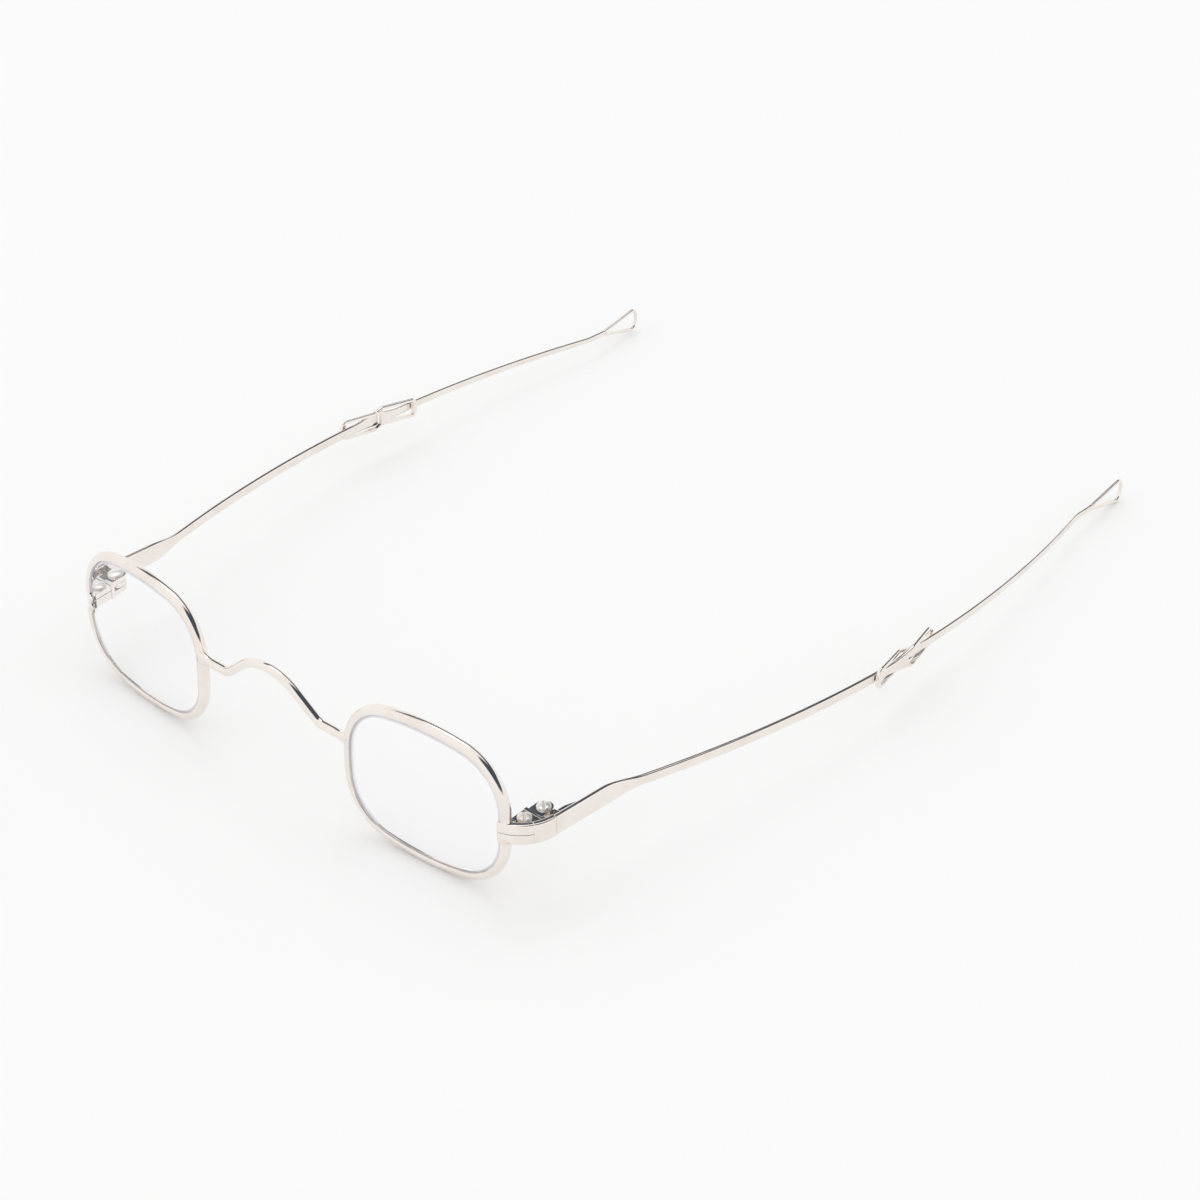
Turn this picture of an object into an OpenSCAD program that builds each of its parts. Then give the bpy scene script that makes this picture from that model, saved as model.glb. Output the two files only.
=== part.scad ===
// Reading glasses with two small rounded rims, a wire bridge and sliding temples.
// Left and right are the wearer's: +X is the wearer's left, -Y is forward and +Z is up.
// The glasses stand as on a table: both rim bottoms and the tip loops reach down to Z = 0.

/* [Rims] */
// Distance between the centres of the two rims
rim_spacing = 64.2; // [61:0.1:68]
// Width of a rim, between the centres of its wire
rim_w = 30.6; // [28:0.1:33]
// Height of a rim, between the centres of its wire
rim_h = 24.1; // [22:0.1:27]
// Radius of the rim's nearly flat top and bottom
rim_top_radius = 45; // [38:0.5:60]
// Radius of the rim's nearly flat sides
rim_side_radius = 43; // [36:0.5:60]
// Radius of the rim's rounded corners
rim_corner_radius = 9.2; // [8:0.1:10.5]
// Radius of the round outer face of the rim wire
rim_wire_r = 0.95; // [0.85:0.05:1.1]
// How far the flat inner face of the rim lies inside the wire's centre
rim_inner = 0.45; // [0.4:0.05:0.6]
// Angle by which each rim turns back towards its temple
rim_wrap = 4.1; // [2:0.1:6]
// Angle by which the top of each rim leans back
rim_lean = 2.5; // [0:0.1:5]

/* [Lenses] */
// Thickness of a lens at its edge
lens_edge = 1.1; // [0.9:0.05:1.3]
// Radius of the convex front face of a lens
lens_front_radius = 140; // [120:5:180]
// Radius of the hollow back face of a lens
lens_back_radius = 240; // [200:5:300]
// Depth of the groove that holds the lens
groove_depth = 0.3; // [0.2:0.05:0.4]
// Width of the ridge round the lens
lens_ridge = 0.5; // [0.4:0.05:0.6]
// Clearance between the lens and its rim
lens_gap = 0.05; // [0.03:0.01:0.08]

/* [Bridge] */
// Diameter of the bridge wire
bridge_wire = 1.6; // [1.3:0.05:1.8]
// Height of the bridge's side arms above the rims' centres
bridge_height = 3.15; // [1:0.05:5]
// Rise of the arch above the side arms
bridge_rise = 5.95; // [4.5:0.05:8]
// Radius of the arch
bridge_arch_radius = 9.6; // [8.5:0.1:10.5]
// Slope of the arch where it comes down to the side arms
bridge_slope = 41; // [35:1:45]
// Radius of the bend between the arch and a side arm
bridge_bend_radius = 2; // [1.5:0.1:2.5]
// Angle by which the arch leans forward
bridge_lean = 5; // [0:1:10]

/* [Endpieces] */
// Outer radius of the curved endpiece
band_r = 7.4; // [7.2:0.1:8.2]
// Thickness of the endpiece
band_t = 1.0; // [0.8:0.05:1.1]
// Height of the endpiece and of the temple's hinge end
band_h = 3.6; // [3.4:0.1:4.4]
// How far the endpiece reaches in past the centre of the rim wire
band_overlap = 0.9; // [0.6:0.1:1.1]
// How far the endpiece stands forward of the middle plane of the rim
band_proud = 0.95; // [0.9:0.05:1.1]
// Angle from straight ahead at which the endpiece starts
band_start = 12.7; // [10:0.1:15]
// How far short of its own centre the endpiece ends
band_short = 0.4; // [0.2:0.1:1]
// How far the endpiece's middle lies below the centre of the rim
band_drop = 0.2; // [0:0.05:0.5]
// How far the saw cut runs outwards past the centre of the endpiece's curve
saw_cut_reach = 6.2; // [5:0.1:6.3]
// Width of the saw cut in the endpiece and between the closing blocks
saw_cut_w = 0.14; // [0.1:0.01:0.2]

/* [Closing blocks] */
// Height of the upper closing block above the saw cut
block_top = 1.0; // [0.9:0.05:1.1]
// Depth of the lower closing block below the saw cut
block_bottom = 1.5; // [1.3:0.05:1.6]
// Diameter of the screw heads
screw_head_d = 2.3; // [2:0.05:2.4]
// Height of the screw heads
screw_head_h = 0.5; // [0.35:0.05:0.6]
// Diameter of the screw shanks
screw_d = 1.2; // [1:0.05:1.3]
// Width of the screw slots
slot_w = 0.35; // [0.25:0.05:0.45]
// Angle of the screw slots seen from above
slot_angle = 45; // [0:5:90]
// Distance of the closing screw ahead of the hinge screw
screw_pitch = 3.75; // [3.65:0.05:3.9]

/* [Hinges] */
// Distance of the hinge screw inside the endpiece's outer face
hinge_inset = 3.6; // [3.5:0.05:3.8]
// Distance of the hinge screw behind the endpiece's end
hinge_behind = 1.15; // [1.05:0.05:1.3]
// Radius of the hinge knuckles
knuckle_r = 1.5; // [1.35:0.05:1.55]
// Height of the middle knuckle
knuckle_mid = 0.95; // [0.8:0.05:1.1]
// Thickness of the hinge leaves
leaf_t = 0.65; // [0.5:0.05:0.7]
// Length of the temple's hinge leaf
leaf_length = 3.7; // [3:0.1:4.5]
// Lean of the hinge screw's lower end away from the middle of the glasses
hinge_tilt = 2; // [1.6:0.1:2.4]
// Clearance of the hinge screw in the knuckle that turns on it, and between knuckles
hinge_gap = 0.05; // [0.02:0.01:0.08]

/* [Temples] */
// Thickness of the front piece of a temple
front_t = 0.8; // [0.7:0.05:0.85]
// Height of the front piece's strip
front_h = 1.8; // [1.6:0.1:2]
// Length of the straight plate at the hinge
plate_length = 10; // [8:0.1:12]
// Angle by which the plate points outwards
plate_out = 1; // [0:0.1:2]
// How much further the left temple opens than the right one
left_open = 0.6; // [0:0.1:0.7]
// Radius of the outward bend behind the plate
kink_radius = 27; // [20:1:40]
// Angle by which the strip points outwards behind that bend
splay = 15.4; // [12:0.1:18]
// Bend radius of the temple strips
bow_radius = 252; // [220:1:300]
// Length of the front piece along its curve, from hinge end to eye end
front_length = 85.2; // [78:0.1:95]
// Length over which the plate narrows to the strip
taper_length = 8; // [6:0.1:10]

/* [Sliding pieces] */
// Thickness of the rear piece's strip
rear_t = 0.6; // [0.5:0.05:0.65]
// Height of the rear piece's strip behind its eye
rear_h = 1.5; // [1.3:0.1:1.7]
// Height of the rear piece's strip at the tip loop
rear_end_h = 1.1; // [1:0.05:1.2]
// Length of the rear piece along its curve, from the eye's front end to the loop
rear_length = 77; // [70:0.1:82]
// Distance between the outer ends of the two eyes with the temple drawn right out
eyes_apart = 18; // [17.7:0.1:20]
// Gap between the two strips of a temple
strip_gap = 0.15; // [0.1:0.01:0.2]
// Height of the eyes
eye_h = 4.0; // [3.8:0.1:4.4]
// Height of the window in an eye
window_h = 2.8; // [2.75:0.05:3]
// Width of the bar across the end of an eye
eye_bar = 0.9; // [0.8:0.05:1]
// How much shorter the right rear piece is than the left one
right_shorter = 6.5; // [0:0.1:8]

/* [Tip loops] */
// Diameter of the loop wire
loop_wire = 0.7; // [0.6:0.05:0.85]
// Height of the loop over its wire
loop_h = 4.9; // [4.6:0.1:6]
// Distance from the start of the loop to the centres of its corners
loop_reach = 9; // [8:0.1:12]
// Radius of the loop's corners, to the centre of the wire
loop_corner_radius = 1.3; // [1.1:0.05:1.5]
// Radius of the loop's end, to the centre of the wire
loop_end_radius = 3.2; // [3:0.1:4]
// Angle by which the loop turns outwards
flare = 12; // [8:1:20]
// Radius of the bend that turns the loop outwards
flare_radius = 12; // [8:1:16]
// Length of the straight end of the strip behind that bend
flare_straight = 3.8; // [2:0.1:6]

/* [Hidden] */

metal = "silver";
clear = [0.8, 0.9, 1.0, 0.4];
// Facets of small round forms, of the rims' arcs and of the temples' large arcs
small_fn = 64;
rim_fn = 360;
bow_fn = 720;
// Soldered and seated faces stand this far apart
seat = 0.02;
// Where two arcs or bars meet, one is this much slimmer and its end reaches into the other
slimmer = 0.01;
plug = 0.1;
// A length that reaches well past whatever is cut
past = 20;

// Rim outline: centres of its arcs, and the angles where they meet
rim_a = rim_w / 2;
rim_b = rim_h / 2;
top_c = [0, rim_b - rim_top_radius];
side_c = [rim_a - rim_side_radius, 0];
corner_c = meet(top_c, rim_top_radius - rim_corner_radius, side_c, rim_side_radius - rim_corner_radius);
top_angle = heading(corner_c - top_c);
side_angle = heading(corner_c - side_c);
rim_centre_z = rim_b * cos(rim_lean) + rim_wire_r;
rim_x = rim_spacing / 2;
rim_y = rim_x * tan(rim_wrap);

// Endpiece: centre of its curve in plan, and where it ends
rim_edge_x = rim_x + rim_a;
band_c = [
    rim_edge_x - band_overlap - band_r * sin(band_start),
    (rim_edge_x - band_overlap) * tan(rim_wrap) - band_proud + band_r * cos(band_start)
];
band_z = rim_centre_z - band_drop;
band_inner = band_r - band_t;
seam_y = band_c[1] - band_short;
seam_x = band_c[0] + sqrt(pow(band_r, 2) - pow(band_short, 2));

// Hinge: axis in plan, leaf plate ahead of the knuckles, and knuckle heights about band_z
knuckle_room = 0.25;
hinge_x = seam_x - hinge_inset;
hinge_y = seam_y + hinge_behind;
leaf_back = hinge_y - knuckle_r - knuckle_room;
leaf_front = leaf_back - leaf_t;
mid_low = -0.8;
mid_high = mid_low + knuckle_mid;
hinge_low = -band_h / 2;
hinge_high = block_top + 0.1;
bore_r = screw_d / 2 + hinge_gap;
// Start of the temple's hinge leaf behind the hinge screw
leaf_start = 0.4;

// Closing blocks: they start inside and ahead of the rim wire's centre; the post holds the rim
block_inside = 0.7;
block_ahead = 0.4;
post_depth = 1.6;
block_x = rim_edge_x - block_inside;
block_front = rim_edge_x * tan(rim_wrap) - block_ahead;
post_back = block_front + post_depth;
// The closing screw stands this much further in than the hinge screw
screw_inside = 0.5;
closing_x = hinge_x - screw_inside;
closing_y = hinge_y - screw_pitch;
// How much higher the lens's front face is where the endpiece reaches over it than at its sides
lens_bulge = (rim_a * rim_a - pow(rim_a - band_overlap, 2)) / (2 * lens_front_radius);
// Share of a screw head's height at which its slot ends
slot_floor = 0.45;

// Temple line, measured from the middle of the seam in the temples' own plane
kink_angle = splay - plate_out;
kink_length = kink_radius * kink_angle * PI / 180;
kink_start = plate_length * [sin(plate_out), cos(plate_out)];
kink_c = kink_start + kink_radius * [cos(plate_out), -sin(plate_out)];
arc_start = kink_c + kink_radius * [-cos(splay), sin(splay)];
arc_s = plate_length + kink_length;
bow_c = arc_start + bow_radius * [-cos(splay), sin(splay)];
taper_start = plate_length + 0.5;
strip_step = front_t / 2 + rear_t / 2 + strip_gap;
rear_radius = bow_radius - strip_step;

// Eyes: lengths measured from the foot of the ramp towards the eye's end
eye_flat = 1.0;
eye_ramp = 6.6;
eye_shoulder = 8;
eye_reach = eye_ramp + eye_flat;
eye_corner = 1.2;
// The window starts at three quarters of its height at the first length ahead of the ramp, and
// is at full height from the second
window_start = 1.5;
window_full = 0.3;
front_eye_s = front_length - eye_reach;
rear_eye_s = front_length - eyes_apart + eye_reach;
flare_length = flare_radius * flare * PI / 180;
loop_s = front_length - eyes_apart + rear_length;
flare_s = loop_s - flare_straight - flare_length;

// Tip loop: centres of its arcs in its own upright plane
loop_cw = loop_h / 2 - loop_wire / 2 - loop_corner_radius;
loop_end_u = loop_reach - sqrt(pow(loop_end_radius - loop_corner_radius, 2) - pow(loop_cw, 2));
loop_split = 0.2;
loop_turn = heading([loop_reach - loop_end_u, loop_cw]);
loop_far = norm([loop_reach, loop_cw - loop_split]);
loop_rise = heading([loop_reach, loop_cw - loop_split]) + asin(loop_corner_radius / loop_far);

// The temples slope down so that the lower corner of each loop, drawn right out, reaches Z = 0
flare_phi = phi(flare_s);
flare_end_y = bow_c[1] + (rear_radius + flare_radius * (1 - cos(flare))) * sin(flare_phi)
    + flare_radius * sin(flare) * cos(flare_phi) + flare_straight * cos(flare_phi - flare);
loop_low_y = flare_end_y + loop_reach * cos(flare_phi - flare);
pitch = asin((band_z - loop_corner_radius - loop_wire / 2) / norm([loop_low_y, loop_cw]))
    - atan(loop_cw / loop_low_y);

// Middle of the whole length, which is put at Y = 0
bridge_y = (rim_x - rim_a - rim_wire_r) * tan(rim_wrap);
front_y = bridge_y - bridge_rise * sin(bridge_lean) - bridge_wire / 2;
loop_back_y = flare_end_y + loop_end_u * cos(flare_phi - flare);
back_y = seam_y + loop_back_y * cos(pitch) + loop_end_radius + loop_wire / 2;
middle_y = (front_y + back_y) / 2;

// Angle of a vector from the X axis
function heading(v) = atan2(v[1], v[0]);
// Crossing point, on the upper right, of two circles given by centre and radius
function meet(p, rp, q, rq) =
    let (d = norm(q - p), e = (q - p) / d, along = (rp * rp - rq * rq + d * d) / (2 * d))
    p + e * along + [e[1], -e[0]] * sqrt(rp * rp - along * along);
// Angle about the bow's centre at a length along the temple
function phi(s) = -splay + (s - arc_s) / bow_radius * 180 / PI;
// Cosine ease from 0 to 1
function ease(t) = (1 - cos(180 * t)) / 2;

// Arc of a bar with the given section, from one angle to another about the Z axis
module arc_bar(radius, t, h, from, to, fn) {
    rotate([0, 0, from])
        rotate_extrude(angle = to - from, $fn = fn)
            translate([radius - t / 2, -h / 2])
                square([t, h]);
}

// Cuts a flat piece to the rim's outline, moved inwards by a distance
module rim_cut(inset) {
    deep = 4 * lens_edge;
    corner_r = rim_corner_radius - inset - slimmer;
    half_w = corner_c[0] + corner_r * cos(top_angle);
    half_h = corner_c[1] + corner_r * sin(side_angle);
    intersection() {
        children();
        disc(top_c, rim_top_radius - inset, deep, rim_fn);
        disc(-top_c, rim_top_radius - inset, deep, rim_fn);
        disc(side_c, rim_side_radius - inset, deep, rim_fn);
        disc(-side_c, rim_side_radius - inset, deep, rim_fn);
        union() {
            translate([-half_w, -rim_h, -deep / 2]) cube([2 * half_w, 2 * rim_h, deep]);
            translate([-rim_w, -half_h, -deep / 2]) cube([2 * rim_w, 2 * half_h, deep]);
            for (x = [-1, 1], y = [-1, 1])
                disc([x * corner_c[0], y * corner_c[1]], corner_r, deep, small_fn);
        }
    }
}

// Disc about a point of the plane Z = 0, half its thickness on each side of it
module disc(centre, radius, t, fn) {
    translate([centre[0], centre[1], -t / 2]) cylinder(r = radius, h = t, $fn = fn);
}

// Section of the rim wire: round outside, flat inside with a groove for the lens
module rim_section(shrink) {
    groove_w = lens_ridge + 2 * (lens_gap + shrink);
    difference() {
        circle(r = rim_wire_r - shrink, $fn = small_fn);
        translate([-rim_inner + shrink - past, -past / 2]) square([past, past]);
        translate([-rim_inner + shrink - past, -groove_w / 2]) square([past + groove_depth, groove_w]);
    }
}

// One arc of the rim; a shrunk arc reaches a little way inside its neighbours
module rim_arc(radius, from, to, shrink = 0) {
    reach = shrink > 0 ? plug / radius * 180 / PI : 0;
    rotate([0, 0, from - reach])
        rotate_extrude(angle = to - from + 2 * reach, $fn = rim_fn)
            translate([radius, 0])
                rim_section(shrink);
}

// Whole rim wire, flat in its own plane
module rim_ring() {
    translate(top_c) rim_arc(rim_top_radius, top_angle, 180 - top_angle);
    translate(-top_c) rim_arc(rim_top_radius, 180 + top_angle, 360 - top_angle);
    translate(side_c) rim_arc(rim_side_radius, -side_angle, side_angle);
    translate(-side_c) rim_arc(rim_side_radius, 180 - side_angle, 180 + side_angle);
    translate(corner_c) rim_arc(rim_corner_radius, side_angle, top_angle, slimmer);
    translate(-corner_c) rim_arc(rim_corner_radius, 180 + side_angle, 180 + top_angle, slimmer);
    translate([-corner_c[0], corner_c[1]])
        rim_arc(rim_corner_radius, 180 - top_angle, 180 - side_angle, slimmer);
    translate([corner_c[0], -corner_c[1]])
        rim_arc(rim_corner_radius, 360 - top_angle, 360 - side_angle, slimmer);
}

// Puts a flat rim or lens, facing +Z, upright in its place on the wearer's left
module in_rim() {
    translate([rim_x, rim_y, rim_centre_z])
        rotate([0, 0, rim_wrap])
            rotate([90 - rim_lean, 0, 0])
                children();
}

// Space that the lens takes, with its clearance
module lens_space() {
    in_rim() {
        rim_cut(rim_inner) disc([0, 0], rim_w, lens_edge + 2 * (lens_gap + lens_bulge), small_fn);
        rim_cut(rim_inner - groove_depth) disc([0, 0], rim_w, lens_ridge + 2 * lens_gap, small_fn);
    }
}

// Puts a piece of the left side on one side, with the whole length centred on Y = 0
module on_side(side) {
    translate([0, -middle_y, 0])
        mirror([side < 0 ? 1 : 0, 0, 0])
            children();
}

module rim(side) {
    color(metal) on_side(side)
        difference() {
            in_rim() rim_ring();
            translate([rim_edge_x - 2 * rim_wire_r, rim_y - past / 2, band_z - band_h / 2])
                cube([past, past, band_h]);
        }
}

// Round lens blank with its front and back faces, before it is cut to the rim's outline
module lens_blank() {
    difference() {
        intersection() {
            translate([0, 0, -lens_edge / 2])
                cylinder(r = rim_w, h = 2.5 * lens_edge, $fn = small_fn);
            lens_face(lens_front_radius, lens_edge / 2);
        }
        lens_face(lens_back_radius, -lens_edge / 2);
    }
}

// Ball whose surface passes the side edges of the lens at a height
module lens_face(radius, height) {
    translate([0, 0, height - sqrt(pow(radius, 2) - rim_a * rim_a)])
        rotate([90, 0, 0])
            sphere(r = radius, $fn = rim_fn);
}

module lens(side) {
    color(clear) on_side(side)
        in_rim() {
            rim_cut(rim_inner + lens_gap) lens_blank();
            rim_cut(rim_inner - groove_depth + lens_gap) disc([0, 0], rim_w, lens_ridge, small_fn);
        }
}

// Bridge wire, upright: the arch in the middle, with a bend and a side arm on each side
module bridge_wires() {
    wire_r = bridge_wire / 2;
    arch_drop = bridge_arch_radius * (1 - cos(bridge_slope));
    bend_drop = bridge_bend_radius * (1 - cos(bridge_slope));
    straight = (bridge_rise - arch_drop - bend_drop) / sin(bridge_slope);
    arch_end = [bridge_arch_radius * sin(bridge_slope), bridge_rise - arch_drop];
    bend_start = arch_end + straight * [cos(bridge_slope), -sin(bridge_slope)];
    bend_c = bend_start + bridge_bend_radius * [sin(bridge_slope), cos(bridge_slope)];
    translate([0, bridge_rise - bridge_arch_radius])
        wire_arc(bridge_arch_radius, wire_r, 90 - bridge_slope, 90 + bridge_slope);
    for (m = [0, 1]) mirror([m, 0, 0]) {
        translate(arch_end)
            rotate([0, 90, -bridge_slope])
                translate([0, 0, -plug])
                    cylinder(r = wire_r - slimmer, h = straight + 2 * plug, $fn = small_fn);
        translate(bend_c)
            wire_arc(bridge_bend_radius, wire_r, 270 - bridge_slope, 270);
        translate([bend_c[0] - plug, 0])
            rotate([0, 90, 0])
                cylinder(r = wire_r - slimmer, h = rim_x - rim_a + plug - bend_c[0], $fn = small_fn);
    }
}

// Arc of round wire
module wire_arc(radius, wire_r, from, to) {
    rotate([0, 0, from])
        rotate_extrude(angle = to - from, $fn = rim_fn)
            translate([radius, 0])
                circle(r = wire_r, $fn = small_fn);
}

module bridge() {
    color(metal) translate([0, -middle_y, 0])
        difference() {
            translate([0, bridge_y, rim_centre_z + bridge_height])
                rotate([90 + bridge_lean, 0, 0])
                    bridge_wires();
            for (m = [0, 1]) mirror([m, 0, 0]) in_rim() rim_shadow();
        }
}

// The nasal side of the rim as a full round wire, a little oversize and longer upwards
module rim_shadow() {
    further = 4;
    translate(-side_c)
        wire_arc(rim_side_radius, rim_wire_r + seat, 180 - side_angle - further, 180 + side_angle);
    translate([-corner_c[0], corner_c[1]])
        wire_arc(rim_corner_radius, rim_wire_r + seat, 180 - top_angle, 180 - side_angle);
}

// Curved strap that joins the rim to the hinge, with its saw cut
module endpiece(side) {
    color(metal) on_side(side)
        difference() {
            translate([band_c[0], band_c[1], band_z])
                arc_bar(band_r - band_t / 2, band_t, band_h, band_start - 90, 0, rim_fn);
            translate([band_c[0], seam_y, band_z - band_h]) cube([past, past, 2 * band_h]);
            translate([band_c[0] - past, band_c[1] - past, band_z - saw_cut_w / 2])
                cube([past + saw_cut_reach, past, saw_cut_w]);
            lens_space();
        }
}

// Plan of the closing blocks between two Y values
module block_plan(y0, y1, x1) {
    intersection() {
        translate(band_c) circle(r = band_inner - seat, $fn = rim_fn);
        translate([block_x, y0]) square([x1 - block_x, y1 - y0]);
    }
}

// Closing block between two heights about the saw cut, with its post under the rim end
module closing_block(side, low, high, post_low, post_high) {
    color(metal) on_side(side)
        difference() {
            translate([0, 0, band_z]) {
                translate([0, 0, low])
                    linear_extrude(high - low) block_plan(block_front, leaf_front - seat, seam_x);
                translate([0, 0, post_low])
                    linear_extrude(post_high - post_low)
                        block_plan(block_front, post_back, rim_edge_x + rim_wire_r);
            }
            translate([closing_x, closing_y, band_z - past / 2])
                cylinder(d = screw_d + 2 * hinge_gap, h = past, $fn = small_fn);
            lens_space();
        }
}

module closing_block_upper(side) {
    closing_block(side, saw_cut_w / 2, block_top, saw_cut_w / 2, band_h / 2 - seat);
}

module closing_block_lower(side) {
    closing_block(side, -block_bottom, -saw_cut_w / 2, seat - band_h / 2, -saw_cut_w / 2);
}

// Slotted screw whose head stands on Z = 0 and whose shank reaches down
module screw(shank) {
    crown_radius = screw_head_d;
    translate([0, 0, -shank]) cylinder(d = screw_d, h = shank, $fn = small_fn);
    difference() {
        intersection() {
            cylinder(d = screw_head_d, h = screw_head_h, $fn = small_fn);
            translate([0, 0, screw_head_h - crown_radius]) sphere(r = crown_radius, $fn = small_fn);
        }
        rotate([0, 0, slot_angle])
            translate([-screw_head_d, -slot_w / 2, screw_head_h * slot_floor])
                cube([2 * screw_head_d, slot_w, screw_head_h]);
    }
}

module closing_screw(side) {
    color(metal) on_side(side)
        translate([closing_x, closing_y, band_z + block_top + seat])
            screw(block_top + block_bottom);
}

// Puts a piece on the hinge axis, with Z = 0 at the middle of the endpiece
module on_hinge() {
    translate([hinge_x, hinge_y, band_z])
        rotate([0, -hinge_tilt, 0])
            children();
}

module hinge_screw(side) {
    color(metal) on_side(side)
        on_hinge()
            translate([0, 0, hinge_high + seat])
                screw(hinge_high - hinge_low);
}

// Upright plate behind the closing blocks with the top and bottom knuckles
module hinge_leaf_front(side) {
    color(metal) on_side(side)
        difference() {
            union() {
                translate([0, 0, band_z + hinge_low])
                    linear_extrude(hinge_high - hinge_low)
                        intersection() {
                            translate(band_c) circle(r = band_inner - seat, $fn = rim_fn);
                            translate([block_x, leaf_front])
                                square([seam_x - block_x, leaf_t]);
                        }
                on_hinge() {
                    front_knuckle(hinge_low, mid_low - hinge_gap);
                    front_knuckle(mid_high + hinge_gap, hinge_high);
                }
            }
            on_hinge()
                translate([0, 0, -past / 2])
                    cylinder(r = screw_d / 2 + seat, h = past, $fn = small_fn);
        }
}

// Knuckle with its arm forward to the leaf plate
module front_knuckle(low, high) {
    translate([0, 0, low]) linear_extrude(high - low) {
        circle(r = knuckle_r, $fn = small_fn);
        translate([-knuckle_r, leaf_front - hinge_y + leaf_t / 2])
            square([2 * knuckle_r, hinge_y - leaf_front - leaf_t / 2]);
    }
}

// Middle knuckle with its arm out to a leaf on the inside of the temple
module hinge_leaf_temple(side) {
    color(metal) on_side(side)
        difference() {
            union() {
                on_hinge()
                    translate([0, 0, mid_low])
                        linear_extrude(knuckle_mid) {
                            circle(r = knuckle_r, $fn = small_fn);
                            square([hinge_inset - front_t - leaf_t / 2, knuckle_r]);
                        }
                in_temple(side)
                    rotate([0, 0, -plate_out])
                        translate([-front_t / 2 - leaf_t - seat, hinge_behind + leaf_start, -block_bottom])
                            cube([leaf_t, leaf_length, 2 * block_bottom]);
            }
            on_hinge()
                translate([0, 0, -past / 2])
                    cylinder(r = bore_r, h = past, $fn = small_fn);
        }
}

// Puts a piece in the temples' sloping plane, with its start at the middle of the seam
module in_temple(side) {
    translate([hinge_x, hinge_y, 0])
        rotate([0, 0, side > 0 ? -left_open : 0])
            translate([seam_x - front_t / 2 - hinge_x, seam_y - hinge_y, band_z])
                rotate([-pitch, 0, 0])
                    children();
}

// Puts a piece at a length along the bow: X points outwards from the bow's centre, Y to the rear
module at_bow(s) {
    translate([bow_c[0], bow_c[1], 0])
        rotate([0, 0, phi(s)])
            children();
}

// Side view of the plate as it narrows to the strip
module plate_side() {
    steps = 12;
    upper = [for (i = [0:steps])
        [taper_start + taper_length * i / steps,
         band_h / 2 + (front_h - band_h) / 2 * ease(i / steps)]];
    polygon(concat(
        [[-past, band_h / 2]], upper,
        [[front_length, front_h / 2], [front_length, -front_h / 2]],
        [for (i = [steps:-1:0]) [upper[i][0], -upper[i][1]]], [[-past, -band_h / 2]]));
}

// Side view of an eye: a shoulder that widens slowly from the strip, a window and an end bar
module eye_side(strip_h) {
    steps = 8;
    shoulder = [for (i = [0:steps])
        [-eye_shoulder * (1 - i / steps),
         strip_h / 2 - slimmer + ((eye_h - strip_h) / 2 + slimmer) * pow(i / steps, 2)]];
    end = [for (a = [90:-15:0])
        [eye_reach - eye_corner * (1 - cos(a)), eye_h / 2 - eye_corner * (1 - sin(a))]];
    upper = concat(shoulder, end);
    last = len(upper) - 1;
    difference() {
        polygon(concat(upper, [for (i = [last:-1:0]) [upper[i][0], -upper[i][1]]]));
        polygon([
            [-window_start, -window_h * 3 / 8], [-window_full, -window_h / 2],
            [eye_reach - eye_bar, -window_h / 2], [eye_reach - eye_bar, window_h / 2],
            [-window_full, window_h / 2], [-window_start, window_h * 3 / 8]
        ]);
    }
}

// Eye that starts in line with its own strip at the given radius and steps over the other strip
module eye(radius, strip_t, strip_h, step) {
    side_x = (strip_t - slimmer) / 2;
    plan_steps = 6;
    inner = [for (i = [0:plan_steps])
        let (y = -eye_shoulder * (1 - i / plan_steps))
        [radius - radius * (1 - cos(y / radius * 180 / PI)), y]];
    // The ramp is straight, so the bow has turned away by this much at its end
    end_x = radius + step - eye_reach * eye_reach / (2 * radius);
    intersection() {
        translate([0, 0, -eye_h])
            linear_extrude(2 * eye_h)
                polygon(concat(
                    [for (p = inner) [p[0] - side_x, p[1]]],
                    [
                        [end_x - side_x, eye_ramp], [end_x - side_x, eye_reach],
                        [end_x + side_x, eye_reach], [end_x + side_x, eye_ramp]
                    ],
                    [for (i = [plan_steps:-1:0]) [inner[i][0] + side_x, inner[i][1]]]));
        translate([radius - past / 2, 0, 0])
            rotate([90, 0, 90])
                linear_extrude(past) eye_side(strip_h);
    }
}

// Plate, outward bend and strip of the front piece, too high until cut to their side view
module front_bars() {
    reach = plug / kink_radius * 180 / PI;
    rotate([0, 0, -plate_out])
        translate([-front_t / 2, -front_t, -band_h])
            cube([front_t, plate_length + front_t, 2 * band_h]);
    translate([kink_c[0], kink_c[1], 0])
        arc_bar(kink_radius, front_t - slimmer, 2 * band_h - slimmer,
            180 - splay - reach, 180 - plate_out + reach, rim_fn);
    translate([bow_c[0], bow_c[1], 0])
        arc_bar(bow_radius, front_t, 2 * band_h, phi(arc_s), phi(front_eye_s - plug), bow_fn);
}

module temple_front(side) {
    color(metal) on_side(side)
        intersection() {
            in_temple(side) {
                intersection() {
                    front_bars();
                    translate([-past, 0, 0])
                        rotate([90, 0, 90])
                            linear_extrude(3 * past) plate_side();
                }
                at_bow(front_eye_s) eye(bow_radius, front_t, front_h, -2 * strip_step);
            }
            translate([0, seam_y + hinge_gap, -past]) cube([10 * past, 10 * past, 4 * past]);
        }
}

// Length along the temple at which the bend towards the tip starts
function bend_s(side) = side < 0 ? flare_s - right_shorter : flare_s;

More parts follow.
